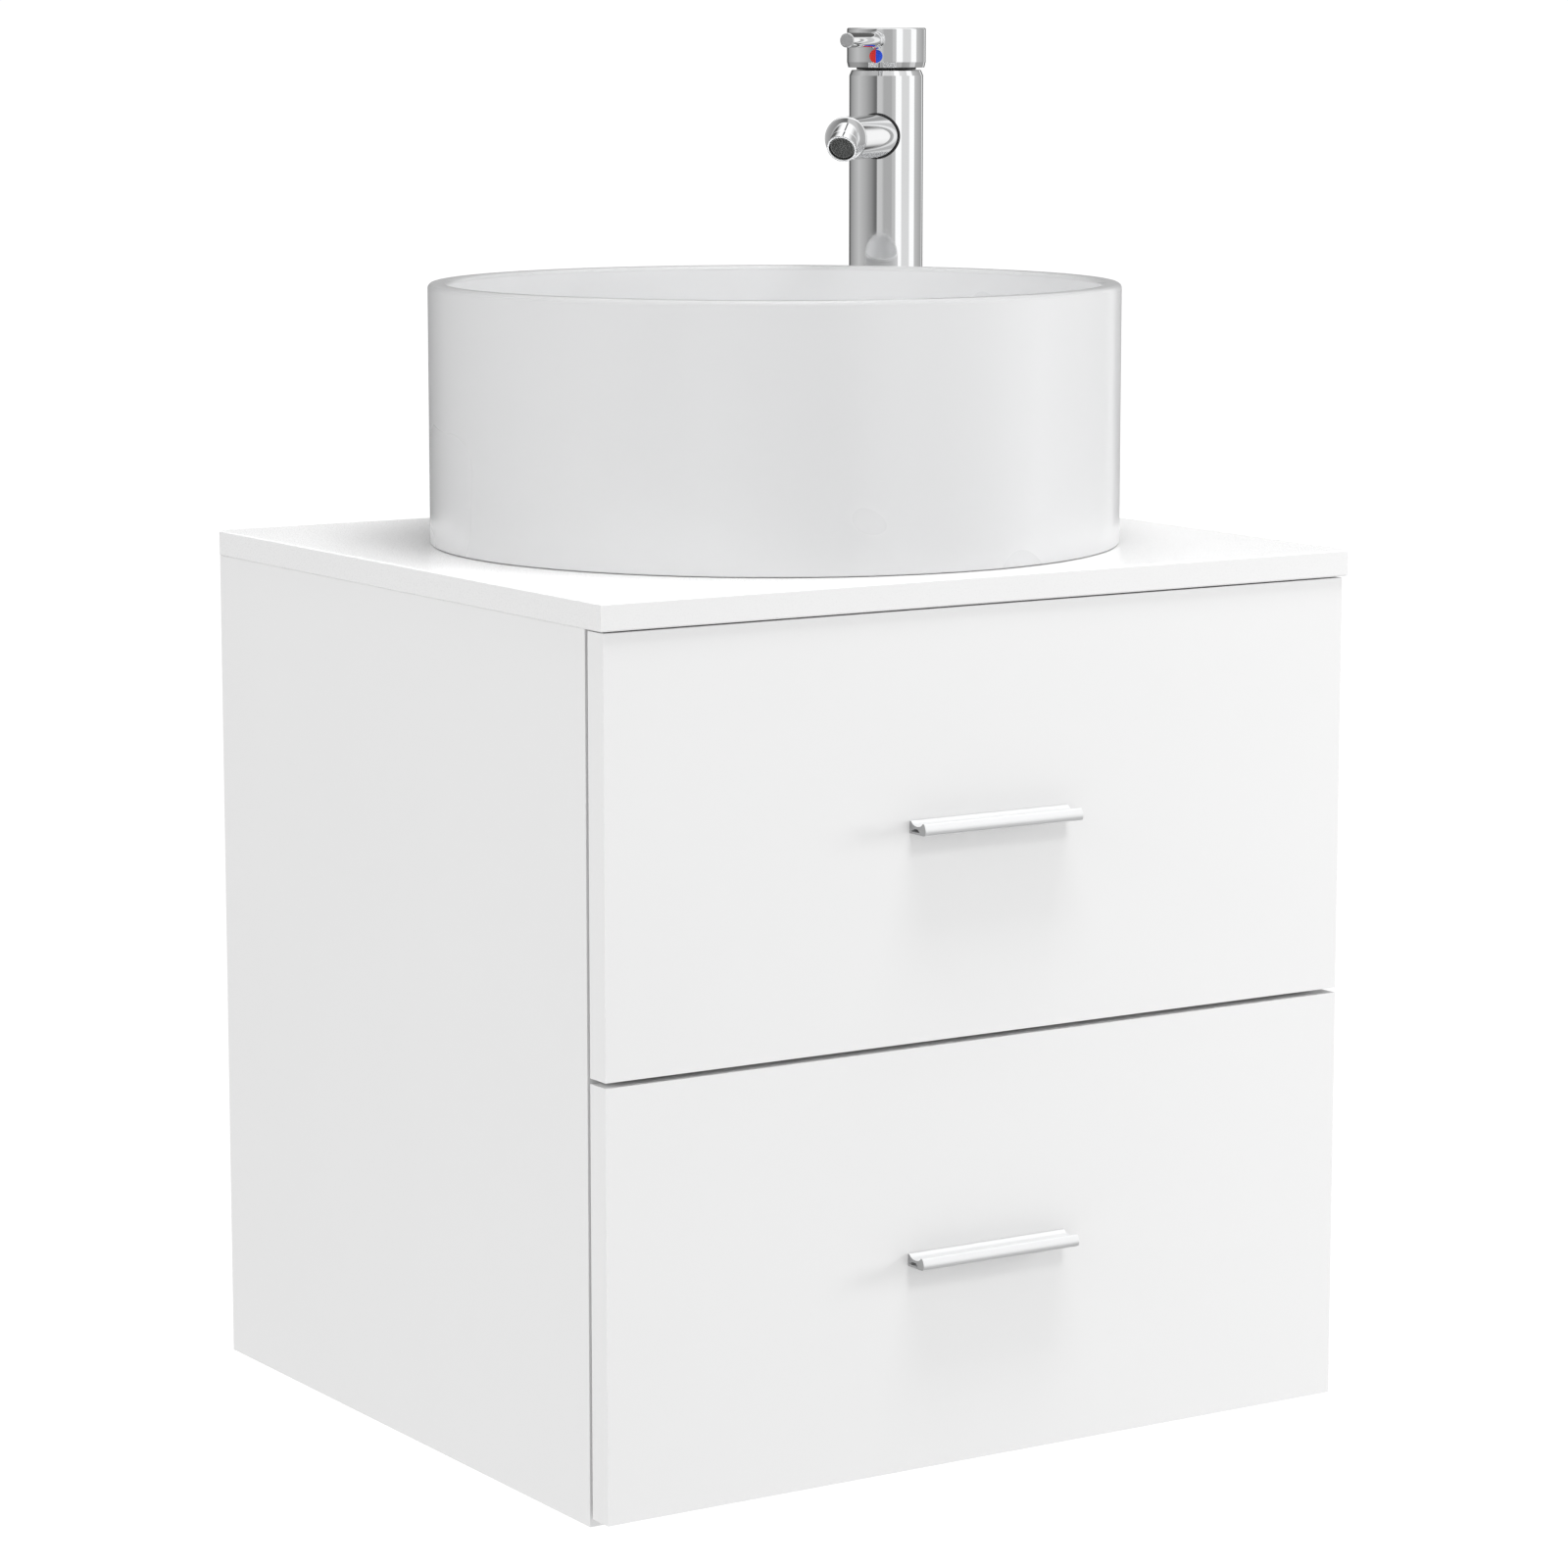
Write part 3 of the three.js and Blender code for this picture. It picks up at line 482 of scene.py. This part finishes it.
def make_trap():
    upright = Matrix.Translation((BASIN_AXIS.x, BASIN_AXIS.y, 0))
    to_wall = Matrix.Translation((BASIN_AXIS.x, BASIN_AXIS.y, TRAP_PIPE.z)) @ TO_WALL
    wall = (WALL_Y - BASIN_AXIS.y) / MM

    def piece(name, profile, placed, node):
        obj = turned(name, profile, 96, placed, closed=True)
        return finish_piece(obj, "chrome", "cabinet", [node])

    piece("trap_inlet_pipe", [(14, 305, 0.3), (16, 305, 0.5), (16, 460, 0.5), (14, 460, 0.3)], upright,
          "trap_inlet_tube")
    piece("trap_inlet_union", [
        (16.4, 426, 0.3), (21.5, 426, 0.8), (26, 430, 1.5), (26, 436.6), (25.6, 437), (25.6, 437.6),
        (26, 438), (26, 444.6), (25.6, 445), (25.6, 445.6), (26, 446), (26, 452, 1), (21.4, 452, 0.4),
        (21.4, 436), (16.4, 436),
    ], upright, "trap_inlet_nut")
    piece("trap_bottle_body", [
        (16.5, 365), (30.5, 362, 4), (30.5, 294, 6), (22.5, 290.5, 2), (0.5, 290.5), (0.5, 288),
        (25, 288, 2), (33, 294, 5), (33, 310), (33.0, 311), (32.3, 311.4), (32.3, 312.6), (33, 313),
        (33, 362, 4), (22, 368, 3), (22, 382, 1.2), (16.5, 382, 0.4),
    ], upright, "trap_bottle")
    port = turned("trap_bottle_port", [
        (16.5, 24), (21, 24), (21, 44.5, 0.4), (22, 45), (22, 49, 0.6), (16.5, 49, 0.4),
    ], 96, to_wall, closed=True)
    finish_piece(port, "chrome", "cabinet")
    piece("trap_outlet_union", [
        (16.4, 49.3), (26, 49.3, 1), (26, 54.6), (25.6, 55), (25.6, 55.6), (26, 56), (26, 63, 1.5),
        (22, 67, 1), (16.4, 67, 0.4),
    ], to_wall, "trap_outlet_nut")
    piece("trap_outlet_pipe", [(14, 33), (16, 33, 0.4), (16, wall, 0.3), (14, wall, 0.3)], to_wall,
          "trap_outlet_tube")
    piece("trap_rosette", [
        (16.4, wall - 12, 0.4), (19, wall - 12, 1.2), (25, wall - 4.5, 9), (36, wall - 1.6, 0.8),
        (36, wall, 0.3), (16.4, wall),
    ], to_wall, "trap_wall_rosette")


# ------------------------------------------------------------------ mixer tap

COLUMN_RADIUS = 23
COLUMN_TOP = 267.6
CAP_RADIUS = 24.5
CAP_BOTTOM = 269.2
CAP_TOP = 293.5
ARM_RADIUS = 13.25
SPOUT_HEIGHT = 227.3
SPOUT_REACH = 95
NOZZLE_TILT = math.radians(32)
LEVER_HEIGHT = 286.2
LEVER_REACH = 90.5


def make_tap_column():
    column = [
        (0, 2.3), (26, 2.3, 0.5), (26, 5.8, 1.6), (COLUMN_RADIUS, 7.3, 1.5), (COLUMN_RADIUS, COLUMN_TOP - 3.4, 0.4),
        (21.6, COLUMN_TOP, 0.5), (17.5, COLUMN_TOP, 0.3), (17.5, COLUMN_TOP - 37), (0, COLUMN_TOP - 37),
    ]
    finish_piece(turned("tap_column", column, 192, TAP_FRAME), "chrome", "cabinet", ["tap_body"])

    gasket = [(19, 0.3, 0.5), (25, 0.3, 0.5), (25, 2, 0.5), (19, 2, 0.5)]
    finish_piece(
        turned("tap_gasket", gasket, 96, TAP_FRAME, closed=True), "black_rubber", "cabinet", ["tap_base_gasket"],
    )
    collar = [
        (0, COLUMN_TOP - 3.7), (5, COLUMN_TOP - 3.7), (5, COLUMN_TOP + 0.3), (18.5, COLUMN_TOP + 0.3, 0.3),
        (18.5, COLUMN_TOP + 3.3, 0.5), (4, COLUMN_TOP + 3.3), (4, COLUMN_TOP + 7.3), (0, COLUMN_TOP + 7.3),
    ]
    finish_piece(
        turned("tap_collar_ring", collar, 96, TAP_FRAME), "dark_plastic", "tap_swivel", ["tap_swivel_collar"],
    )


def seam_ring(name, arm_radius, tube_radius):
    """A thin ring lying where a horizontal round arm leaves the round column."""
    around, across = 128, 10
    vertices = []
    for i in range(around):
        angle = 2 * math.pi * i / around
        x, z = arm_radius * math.cos(angle), arm_radius * math.sin(angle)
        centre = Vector((x, -math.sqrt(COLUMN_RADIUS**2 - x**2), SPOUT_HEIGHT + z))
        outward = Vector((math.cos(angle), 0, math.sin(angle)))
        forward = Vector((0, -1, 0))
        for k in range(across):
            turn = 2 * math.pi * k / across
            vertices.append(centre + (outward * math.cos(turn) + forward * math.sin(turn)) * tube_radius)
    faces = []
    for i in range(around):
        for k in range(across):
            j, m = (i + 1) % around, (k + 1) % across
            faces.append((i * across + k, j * across + k, j * across + m, i * across + m))
    return mesh_object(name, [TAP_FRAME @ (v * MM) for v in vertices], faces)


def make_spout():
    forward = TAP_FRAME @ raised(SPOUT_HEIGHT) @ TO_FRONT
    dome_radius, dome = 12, 1.5
    face = [(r, SPOUT_REACH - dome * (r / dome_radius) ** 2) for r in range(dome_radius, -1, -2)]
    arm = [(0, 18), (ARM_RADIUS, 18), (ARM_RADIUS, SPOUT_REACH - 2.2, 1.0), *face]
    spout = turned("tap_spout_arm", arm, 160, forward)
    finish_piece(spout, "chrome", "cabinet", ["tap_spout"])
    # The black ring is wider than the joint's seam itself: partly a real seam, partly a painted dark reflection along
    # the joint.
    seam = seam_ring("tap_spout_seam_painted_shade", ARM_RADIUS + 0.1, 0.85)
    finish_piece(seam, "black_rubber", "cabinet")

    nose = Matrix.Translation((0, -(SPOUT_REACH + 7) * MM, (SPOUT_HEIGHT - 6.1) * MM))
    leaning = TAP_FRAME @ nose @ Matrix.Rotation(math.pi / 2 + NOZZLE_TILT, 4, "X")
    nozzle = [
        (0, -8), (7.9, -8), (7.9, 0, 0.4), (9.25, 0, 0.6), (9.25, -5.2), (9.0, -5.5), (9.0, -6), (9.25, -6.3),
        (9.25, -16), (0, -16),
    ]
    finish_piece(turned("tap_nozzle", nozzle[::-1], 128, leaning), "chrome", "cabinet")
    insert = [(0, -7.5), (7.6, -7.5), (7.6, -1.5, 0.4), (6.6, -1.5), (6.4, -2.2), (0, -2.0)]
    grey = MATERIALS["grey_plastic"]
    finish_piece(turned("tap_aerator_insert", insert, 96, leaning), "dark_plastic", "cabinet", ["tap_aerator"], grey)
    make_aerator_mesh(leaning)


def make_aerator_mesh(placed):
    """The woven screen in the nozzle: two layers of fine square wires."""
    screen_radius, pitch, half_wire = 6.6, 0.9, 0.13
    vertices, faces = [], []
    count = int(screen_radius / pitch)
    for layer, z in ((0, -1.85), (1, -1.65)):
        for i in range(-count, count + 1):
            offset = i * pitch
            reach = math.sqrt(screen_radius**2 - offset**2)
            first = len(vertices)
            for along in (-reach, reach):
                for side in (-half_wire, half_wire):
                    for height in (-half_wire, half_wire):
                        flat = (along, offset + side) if layer == 0 else (offset + side, along)
                        vertices.append(Vector((*flat, z + height)))
            corners = [(0, 1, 3, 2), (4, 6, 7, 5), (0, 4, 5, 1), (2, 3, 7, 6), (0, 2, 6, 4), (1, 5, 7, 3)]
            faces += [tuple(first + c for c in corner) for corner in corners]
    screen = mesh_object("tap_aerator_screen", [placed @ (v * MM) for v in vertices], faces)
    finish_piece(screen, "dark_plastic", "cabinet", material=MATERIALS["grey_plastic"])


def make_tap_handle():
    cap = [
        (0, CAP_BOTTOM + 10), (22.6, CAP_BOTTOM + 10, 1), (22.6, CAP_BOTTOM, 0.2), (23.7, CAP_BOTTOM, 0.3),
        (CAP_RADIUS, CAP_BOTTOM + 3.4, 1.5), (CAP_RADIUS, CAP_TOP, 0.9), (0, CAP_TOP),
    ]
    body = "tap_lever_cap"
    finish_piece(turned("tap_cap", cap, 192, TAP_FRAME), "chrome", body, ["tap_handle"])

    lever_axis = TAP_FRAME @ raised(LEVER_HEIGHT) @ TO_FRONT
    socket = [(0, 20), (6.2, 22), (5.6, 25, 2), (4.9, 26.8, 3), (4.75, 29.2, 0.4), (0, 29.2)]
    finish_piece(turned("tap_lever_socket", socket, 96, lever_axis), "chrome", body)
    rod = [(0, 24), (2.5, 24), (2.5, 29.3), (4.4, 29.3, 0.3), (4.5, LEVER_REACH - 0.1, 0.6), (0, LEVER_REACH - 0.1)]
    finish_piece(turned("tap_lever_rod", rod, 96, lever_axis), "chrome", body, ["tap_lever"])

    end_face = [(0, LEVER_REACH - 0.5), (3.9, LEVER_REACH - 0.5), (3.9, LEVER_REACH, 0.1), (0, LEVER_REACH)]
    brushed = metal("brushed_end", (0.74, 0.745, 0.75), 0.38, depth=0.1)
    finish_piece(turned("tap_lever_end_face", end_face, 64, lever_axis), "chrome", body, material=brushed)

    facing = TAP_FRAME @ raised(CAP_TOP - 17.2) @ TO_FRONT
    dot = turned("tap_indicator_dot", [(0, 23.6), (4.2, 23.6), (4.2, 24.5, 0.3), (0, 24.68)], 96, facing)
    red = plastic("indicator_red", (0.62, 0.02, 0.015), 0.25, 0.02)
    blue = plastic("indicator_blue", (0.01, 0.06, 0.55), 0.25, 0.02)
    finish_piece(dot, "indicator_plastic", body, ["tap_indicator"], blue)
    dot.data.materials.append(red)
    to_local = facing.inverted()
    for face in dot.data.polygons:
        face.material_index = 1 if (to_local @ face.center).x < 0 else 0


def make_tap_fixing():
    stud_place = TAP_FRAME @ Matrix.Translation((0, 10 * MM, 0))
    stud = [(0, -60), (3.4, -60, 0.3), *threaded(4, 0.5, -59, 1.5, 1.25), (4, 2), (0, 2)]
    finish_piece(turned("tap_stud_threaded", stud, 48, stud_place), "brass", "cabinet", ["tap_mounting_stud"])
    for name, x in (("hot", -7.5), ("cold", 7.5)):
        place = TAP_FRAME @ Matrix.Translation((x * MM, -3 * MM, 0))
        tail = [(0, -70), (4.4, -70, 0.4), *threaded(5, 0.5, -69, -50, 1.2), (5, -48), (5, 2), (0, 2)]
        obj = turned(f"tap_inlet_tail_{name}", tail, 48, place)
        finish_piece(obj, "brass", "cabinet", [f"tap_inlet_{name}"])


# ------------------------------------------------------------------ handles

def make_handles():
    """Bar handles: flat back, finger scoop on top, rounded nose and a hollow chamber."""
    length = 105
    outline = [
        (0.3, 4.4, 0.15), (1.4, 4.4, 0.5), (3.4, 2.7, 4), (7.3, 1.75, 9), (11.0, 2.5, 4), (12.9, 4.4, 1.2),
        (14.3, 4.0, 1.2), (15.9, 0.6, 3.5), (15.1, -2.6, 1.6), (0.3, -2.6, 0.3),
    ]
    chamber = [(1.7, -1.5, 0.2), (9.6, -1.3, 0.2), (8.2, 0.3, 1.5), (5, 0.5, 2), (1.7, -0.5, 0.4)]
    across = Matrix(((0, 0, 1), (-1, 0, 0), (0, 1, 0))).to_4x4()
    for drawer in ("upper", "lower"):
        at = middle(f"{drawer}_drawer_handle")
        place = Matrix.Translation((at.x - length / 2 * MM, FRONT_FACE_Y, middle(f"{drawer}_drawer_front").z)) @ across
        bar = prism(f"{drawer}_bar_handle", outline, length, place, [chamber], edge=0.15)
        finish_piece(bar, "satin_aluminium", f"{drawer}_drawer", [f"{drawer}_drawer_handle"])
        # The end faces take the darker aluminium: painted shade.
        bar.data.materials.append(MATERIALS["sawn_painted_shade_aluminium"])
        for face in bar.data.polygons:
            face.material_index = 1 if abs(face.normal.x) > 0.9 else 0


# ------------------------------------------------------------------ drawer slides

def rolled_channel(name, node, slot, body, opening_inwards):
    """A C channel with rolled corners, as long as the frame's solid and inside its box."""
    low_corner, high_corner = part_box(node)
    wide = (high_corner.x - low_corner.x) / MM
    tall = (high_corner.z - low_corner.z) / MM
    sheet, outer, inner = 1.2, 2.6, 1.4
    outline = [
        (0, -tall / 2, outer), (wide, -tall / 2, 0.4), (wide, -tall / 2 + sheet, 0.4),
        (sheet, -tall / 2 + sheet, inner), (sheet, tall / 2 - sheet, inner), (wide, tall / 2 - sheet, 0.4),
        (wide, tall / 2, 0.4), (0, tall / 2, outer),
    ]
    if opening_inwards < 0:
        outline = [(-x, z, r) for x, z, r in outline][::-1]
        start_x = high_corner.x
    else:
        start_x = low_corner.x
    along = Matrix(((1, 0, 0), (0, 0, -1), (0, 1, 0))).to_4x4()
    place = Matrix.Translation((start_x, high_corner.y, (low_corner.z + high_corner.z) / 2)) @ along
    channel = prism(name, outline, (high_corner.y - low_corner.y) / MM, place, edge=0.1)
    return finish_piece(channel, slot, body, [node])


def make_slides():
    for drawer in ("upper", "lower"):
        bodies = {"cabinet": "cabinet", "middle": f"{drawer}_slide_middle", "drawer": f"{drawer}_drawer"}
        for side, sign in (("left", 1), ("right", -1)):
            for member, body in bodies.items():
                node = f"{drawer}_slide_{member}_{side}"
                facing = -sign if member == "drawer" else sign
                rolled_channel(f"{drawer}_{member}_channel_{side}", node, "zinc_steel", body, facing)


# ------------------------------------------------------------------ small fittings

FACING_UP = Matrix()
FACING_DOWN = Matrix.Rotation(math.pi, 4, "X")
FACING_LEFT = Matrix.Rotation(-math.pi / 2, 4, "Y")
FACING_RIGHT = Matrix.Rotation(math.pi / 2, 4, "Y")


def screw_head(name, at, facing, radius, height, body, slot="zinc_steel"):
    """A low round head with a drilled recess, standing on a surface."""
    recess = radius * 0.4
    profile = [
        (0, 0), (radius, 0), (radius, height * 0.4, 0.15), (radius * 0.8, height, 0.3), (recess, height, 0.1),
        (recess * 0.8, height * 0.3), (0, height * 0.2),
    ]
    head = turned(name, profile, 32, Matrix.Translation(at) @ facing)
    return finish_piece(head, slot, body)


def cam_fitting(name, at, facing):
    """The round lock of a knock-down joint: a low rim and a slotted drum a little below it."""
    rim = [(5.6, -0.0), (7.5, 0.0), (7.5, 0.35, 0.15), (5.6, 0.35, 0.1)]
    placed = Matrix.Translation(at) @ facing
    finish_piece(turned(name + "_rim", rim, 40, placed, closed=True), "dark_plastic", "cabinet")
    slot_half, drum = 0.6, 5.4
    reach = math.sqrt(drum**2 - slot_half**2)
    edge = [(drum * math.cos(math.radians(a)), drum * math.sin(math.radians(a))) for a in range(10, 171, 10)]
    half = [(reach, slot_half), *edge, (-reach, slot_half)]
    for turn, side in ((0, "upper"), (math.pi, "lower")):
        drum_half = prism(f"{name}_drum_{side}", half, 0.25, placed @ Matrix.Rotation(turn, 4, "Z"), edge=0.05)
        finish_piece(drum_half, "zinc_steel", "cabinet")


def make_cabinet_fittings():
    from_side = 34 * MM
    bottom, rail = "bottom_panel", "front_rail"
    for side, sign in (("left", -1), ("right", 1)):
        x = sign * (high(bottom).x - from_side)
        for number, y in enumerate((low(bottom).y + 45 * MM, high(bottom).y - 60 * MM)):
            cam_fitting(f"cam_bottom_{side}_{number}", (x, y, high(bottom).z), FACING_UP)
        cam_fitting(f"cam_front_rail_{side}", (x, middle(rail).y, low(rail).z), FACING_DOWN)
        for back_rail in ("back_rail_upper", "back_rail_lower"):
            at = (x, low(back_rail).y, middle(back_rail).z)
            cam_fitting(f"cam_{back_rail}_{side}", at, TO_FRONT)
        hanger = f"wall_hanger_{side}"
        for number, lift in enumerate((14 * MM, 22 * MM)):
            at = (middle(hanger).x, low(hanger).y, middle(hanger).z + lift)
            screw_head(f"hanger_screw_{side}_{number}", at, TO_FRONT, 3, 1.6, "cabinet")


def make_drawer_fittings():
    for drawer in ("upper", "lower"):
        body = f"{drawer}_drawer"
        front, handle = f"{drawer}_drawer_front", f"{drawer}_drawer_handle"
        for side, sign in (("left", -1), ("right", 1)):
            outward = FACING_LEFT if sign < 0 else FACING_RIGHT
            at = (sign * 32 * MM, high(front).y, middle(handle).z)
            screw_head(f"{drawer}_handle_screw_{side}", at, TO_WALL, 4.2, 2.4, body)
            panel = f"{drawer}_drawer_side_{side}"
            outer_x = low(panel).x if sign < 0 else high(panel).x
            for number, z in enumerate((low(panel).z + 16 * MM, high(panel).z - 16 * MM)):
                at = (outer_x, high(panel).y - 6 * MM, z)
                screw_head(f"{drawer}_back_screw_{side}_{number}", at, outward, 3.2, 0.8, body)
            channel = f"{drawer}_slide_drawer_{side}"
            web_x = (high(channel).x if sign < 0 else low(channel).x) + sign * 1.2 * MM
            for number, y in enumerate((-160 * MM, -30 * MM, 110 * MM)):
                at = (web_x, y, middle(channel).z)
                screw_head(f"{drawer}_slide_screw_{side}_{number}", at, outward, 3, 0.7, body)


def ball_row(at, length, count, radius):
    """Vertices and faces of a flat cage strip along Y with a row of balls through it."""
    work = bmesh.new()
    strip = bmesh.ops.create_cube(work, size=1)
    bmesh.ops.scale(work, vec=Vector((4, length, 0.5)) * MM, verts=strip["verts"])
    for i in range(count):
        y = ((i + 0.5) / count - 0.5) * length * MM
        bmesh.ops.create_icosphere(work, subdivisions=2, radius=radius * MM, matrix=Matrix.Translation((0, y, 0)))
    bmesh.ops.translate(work, vec=at, verts=work.verts)
    return work


def make_slide_balls():
    """Two ball cages in each slide, which stay inside both of their channels over the whole travel."""
    for drawer in ("upper", "lower"):
        for side, sign in (("left", -1), ("right", 1)):
            outer, inner = f"{drawer}_slide_cabinet_{side}", f"{drawer}_slide_drawer_{side}"
            member = f"{drawer}_slide_middle_{side}"
            for name, other, y in (("rear", outer, 105 * MM), ("front", inner, -105 * MM)):
                ends = [max(low(other).x, low(member).x), min(high(other).x, high(member).x)]
                sheet = 1.2 * MM
                small, large = sorted([high(member).z - low(member).z, high(other).z - low(other).z])
                level = (small + large - 2 * sheet) / 4
                mesh = bpy.data.meshes.new(f"{member}_{name}_cage")
                whole = bmesh.new()
                for up in (-1, 1):
                    row = ball_row((sum(ends) / 2, y, middle(member).z + up * level), 90, 9, 0.74)
                    row.to_mesh(mesh)
                    row.free()
                    whole.from_mesh(mesh)
                whole.to_mesh(mesh)
                whole.free()
                for face in mesh.polygons:
                    face.use_smooth = len(face.vertices) == 3
                cage = bpy.data.objects.new(mesh.name, mesh)
                bpy.context.scene.collection.objects.link(cage)
                finish_piece(cage, "zinc_steel", f"{drawer}_slide_middle")


# ------------------------------------------------------------------ floor, light and camera

FLOOR_Z = -0.35
FLOOR_RADIUS = 2.2


def make_floor():
    mesh = bpy.data.meshes.new("floor")
    work = bmesh.new()
    bmesh.ops.create_circle(work, cap_ends=True, segments=96, radius=FLOOR_RADIUS)
    work.to_mesh(mesh)
    work.free()
    floor = bpy.data.objects.new("floor", mesh)
    floor.location.z = FLOOR_Z
    bpy.context.scene.collection.objects.link(floor)
    material, nodes, links, shader = new_material("pale_floor")
    shader.inputs["Base Color"].default_value = (0.2, 0.2, 0.2, 1)
    shader.inputs["Roughness"].default_value = 0.9
    shader.inputs["Specular IOR Level"].default_value = 0.0
    shader.inputs["Emission Color"].default_value = (1, 1, 1, 1)
    shader.inputs["Emission Strength"].default_value = 0.85
    mesh.materials.append(material)
    floor.visible_glossy = False


def area_light(name, position, target, width, height, power, colour=(1, 1, 1)):
    data = bpy.data.lights.new(name, "AREA")
    data.shape = "RECTANGLE"
    data.size = width
    data.size_y = height
    data.energy = power
    data.color = colour
    light = bpy.data.objects.new(name, data)
    light.location = position
    light.visible_camera = False
    light.rotation_euler = (Vector(target) - Vector(position)).to_track_quat("-Z", "Y").to_euler()
    bpy.context.scene.collection.objects.link(light)
    return light


def make_lights():
    """Soft lamps. Polished metal mirrors the world's zones instead of the lamps themselves."""
    lamps = [
        area_light("sky", (0.25, 0.15, 2.9), (0.05, 0, 0.5), 1.4, 0.6, 26),
        area_light("overhead", (0.0, -0.66, 2.6), (0, -0.22, 0.4), 1.2, 0.45, 28),
        area_light("front_high", (0.0, -2.55, 2.3), (0, -0.2, 0.4), 0.5, 0.5, 13.4),
        area_light("side_left", (-2.9, -0.2, 1.4), (0, 0, 0.4), 1.6, 1.6, 26),
        area_light("side_right", (1.7, -0.87, 0.5), (0, -0.2, 0.45), 0.4, 0.5, 12.6),
    ]
    for lamp in lamps:
        lamp.visible_glossy = False


# Compass bearing seen from above, in degrees (+Y is 0, +X is 90), and the grey mirrored there.
MIRRORED_BEARINGS = [
    (-180, 1.25), (-177, 1.25), (-175, 0.65), (-166, 0.62), (-163, 0.5), (-140, 0.5), (-133, 0.68), (-119, 0.72),
    (-117, 0.18), (-112, 0.18), (-100, 0.33), (-79, 0.5), (-53, 0.64), (-4, 0.33), (2, 0.14), (49, 0.13),
    (58, 0.10), (62, 1.1), (66, 1.1), (69, 0.4), (78, 0.45), (113, 0.64), (116, 1.25), (134, 1.25),
    (138, 0.85), (163, 0.85), (166, 1.25), (180, 1.25),
]
# The upward part of the direction, and how bright the mirrored surroundings are there.
MIRRORED_HEIGHTS = [(-1, 0.15), (-0.6, 0.15), (-0.2, 0.85), (-0.05, 1.0), (1, 1.0)]
# How much of a plain bright ceiling hides the bearings' greys.
CEILING = [(-1, 0), (0.6, 0), (0.85, 1), (1, 1)]


def grey_ramp(nodes, links, value, steps, first, last):
    """A ramp of greys over a value that runs from `first` to `last`."""
    ramp = nodes.new("ShaderNodeValToRGB")
    links.new(remap(nodes, links, value, first, last, 0, 1), ramp.inputs["Fac"])
    elements = ramp.color_ramp.elements
    while len(elements) < len(steps):
        elements.new(1)
    for element, (at, grey) in zip(elements, steps):
        element.color = (grey, grey, grey, 1)
    for element, (at, grey) in zip(reversed(elements), reversed(steps)):
        element.position = (at - steps[0][0]) / (steps[-1][0] - steps[0][0])
    return ramp.outputs["Color"]


def make_world():
    """Bright and even for the surfaces, with soft grey zones for what polished metal mirrors."""
    world = bpy.data.worlds.new("studio")
    bpy.context.scene.world = world
    world.use_nodes = True
    nodes, links = world.node_tree.nodes, world.node_tree.links
    nodes.clear()
    output = nodes.new("ShaderNodeOutputWorld")
    place = nodes.new("ShaderNodeTexCoord")
    split = nodes.new("ShaderNodeSeparateXYZ")
    links.new(place.outputs["Generated"], split.inputs["Vector"])
    compass = nodes.new("ShaderNodeMath")
    compass.operation = "ARCTAN2"
    links.new(split.outputs["X"], compass.inputs[0])
    links.new(split.outputs["Y"], compass.inputs[1])

    def background(strength):
        node = nodes.new("ShaderNodeBackground")
        node.inputs["Color"].default_value = (1, 1, 1, 1)
        node.inputs["Strength"].default_value = strength
        return node

    def choose(ray, otherwise, chosen):
        mix = nodes.new("ShaderNodeMixShader")
        links.new(rays.outputs[ray], mix.inputs["Fac"])
        links.new(otherwise, mix.inputs[1])
        links.new(chosen, mix.inputs[2])
        return mix.outputs["Shader"]

    even, mirrored, seen = background(0.615), background(1), background(1.05)
    half_turn = math.pi
    around = grey_ramp(nodes, links, compass.outputs[0], MIRRORED_BEARINGS, -half_turn, half_turn)
    upward = grey_ramp(nodes, links, split.outputs["Z"], MIRRORED_HEIGHTS, -1, 1)
    ceiling = grey_ramp(nodes, links, split.outputs["Z"], CEILING, -1, 1)
    above = nodes.new("ShaderNodeMix")
    above.data_type = "RGBA"
    above.inputs["B"].default_value = (1.35, 1.35, 1.35, 1)
    links.new(ceiling, above.inputs["Factor"])
    links.new(around, above.inputs["A"])
    links.new(above.outputs["Result"], mirrored.inputs["Color"])
    links.new(upward, mirrored.inputs["Strength"])
    rays = nodes.new("ShaderNodeLightPath")
    lighting = choose("Is Glossy Ray", even.outputs[0], mirrored.outputs[0])
    links.new(choose("Is Camera Ray", lighting, seen.outputs[0]), output.inputs["Surface"])


def make_camera():
    """From the front left, a little above the basin, with a long lens."""
    data = bpy.data.cameras.new("camera")
    data.sensor_width = 36
    data.lens = 114.14
    data.clip_end = 200
    camera = bpy.data.objects.new("camera", data)
    camera.location = (-1.5425, -2.4210, 0.7988)
    yaw, pitch = math.radians(32.572), math.radians(8.745)
    camera.rotation_euler = (math.pi / 2 - pitch, 0, -yaw)
    bpy.context.scene.collection.objects.link(camera)
    bpy.context.scene.camera = camera


make_camera()
make_world()
make_lights()
make_floor()
dress_boards()
dress_small_frame_parts()
make_basin()
make_waste()
make_trap()
make_tap_column()
make_spout()
make_tap_handle()
make_tap_fixing()
make_handles()
make_slides()
make_cabinet_fittings()
make_drawer_fittings()
make_slide_balls()

bpy.context.scene.view_settings.view_transform = "Standard"
bpy.context.view_layer.update()
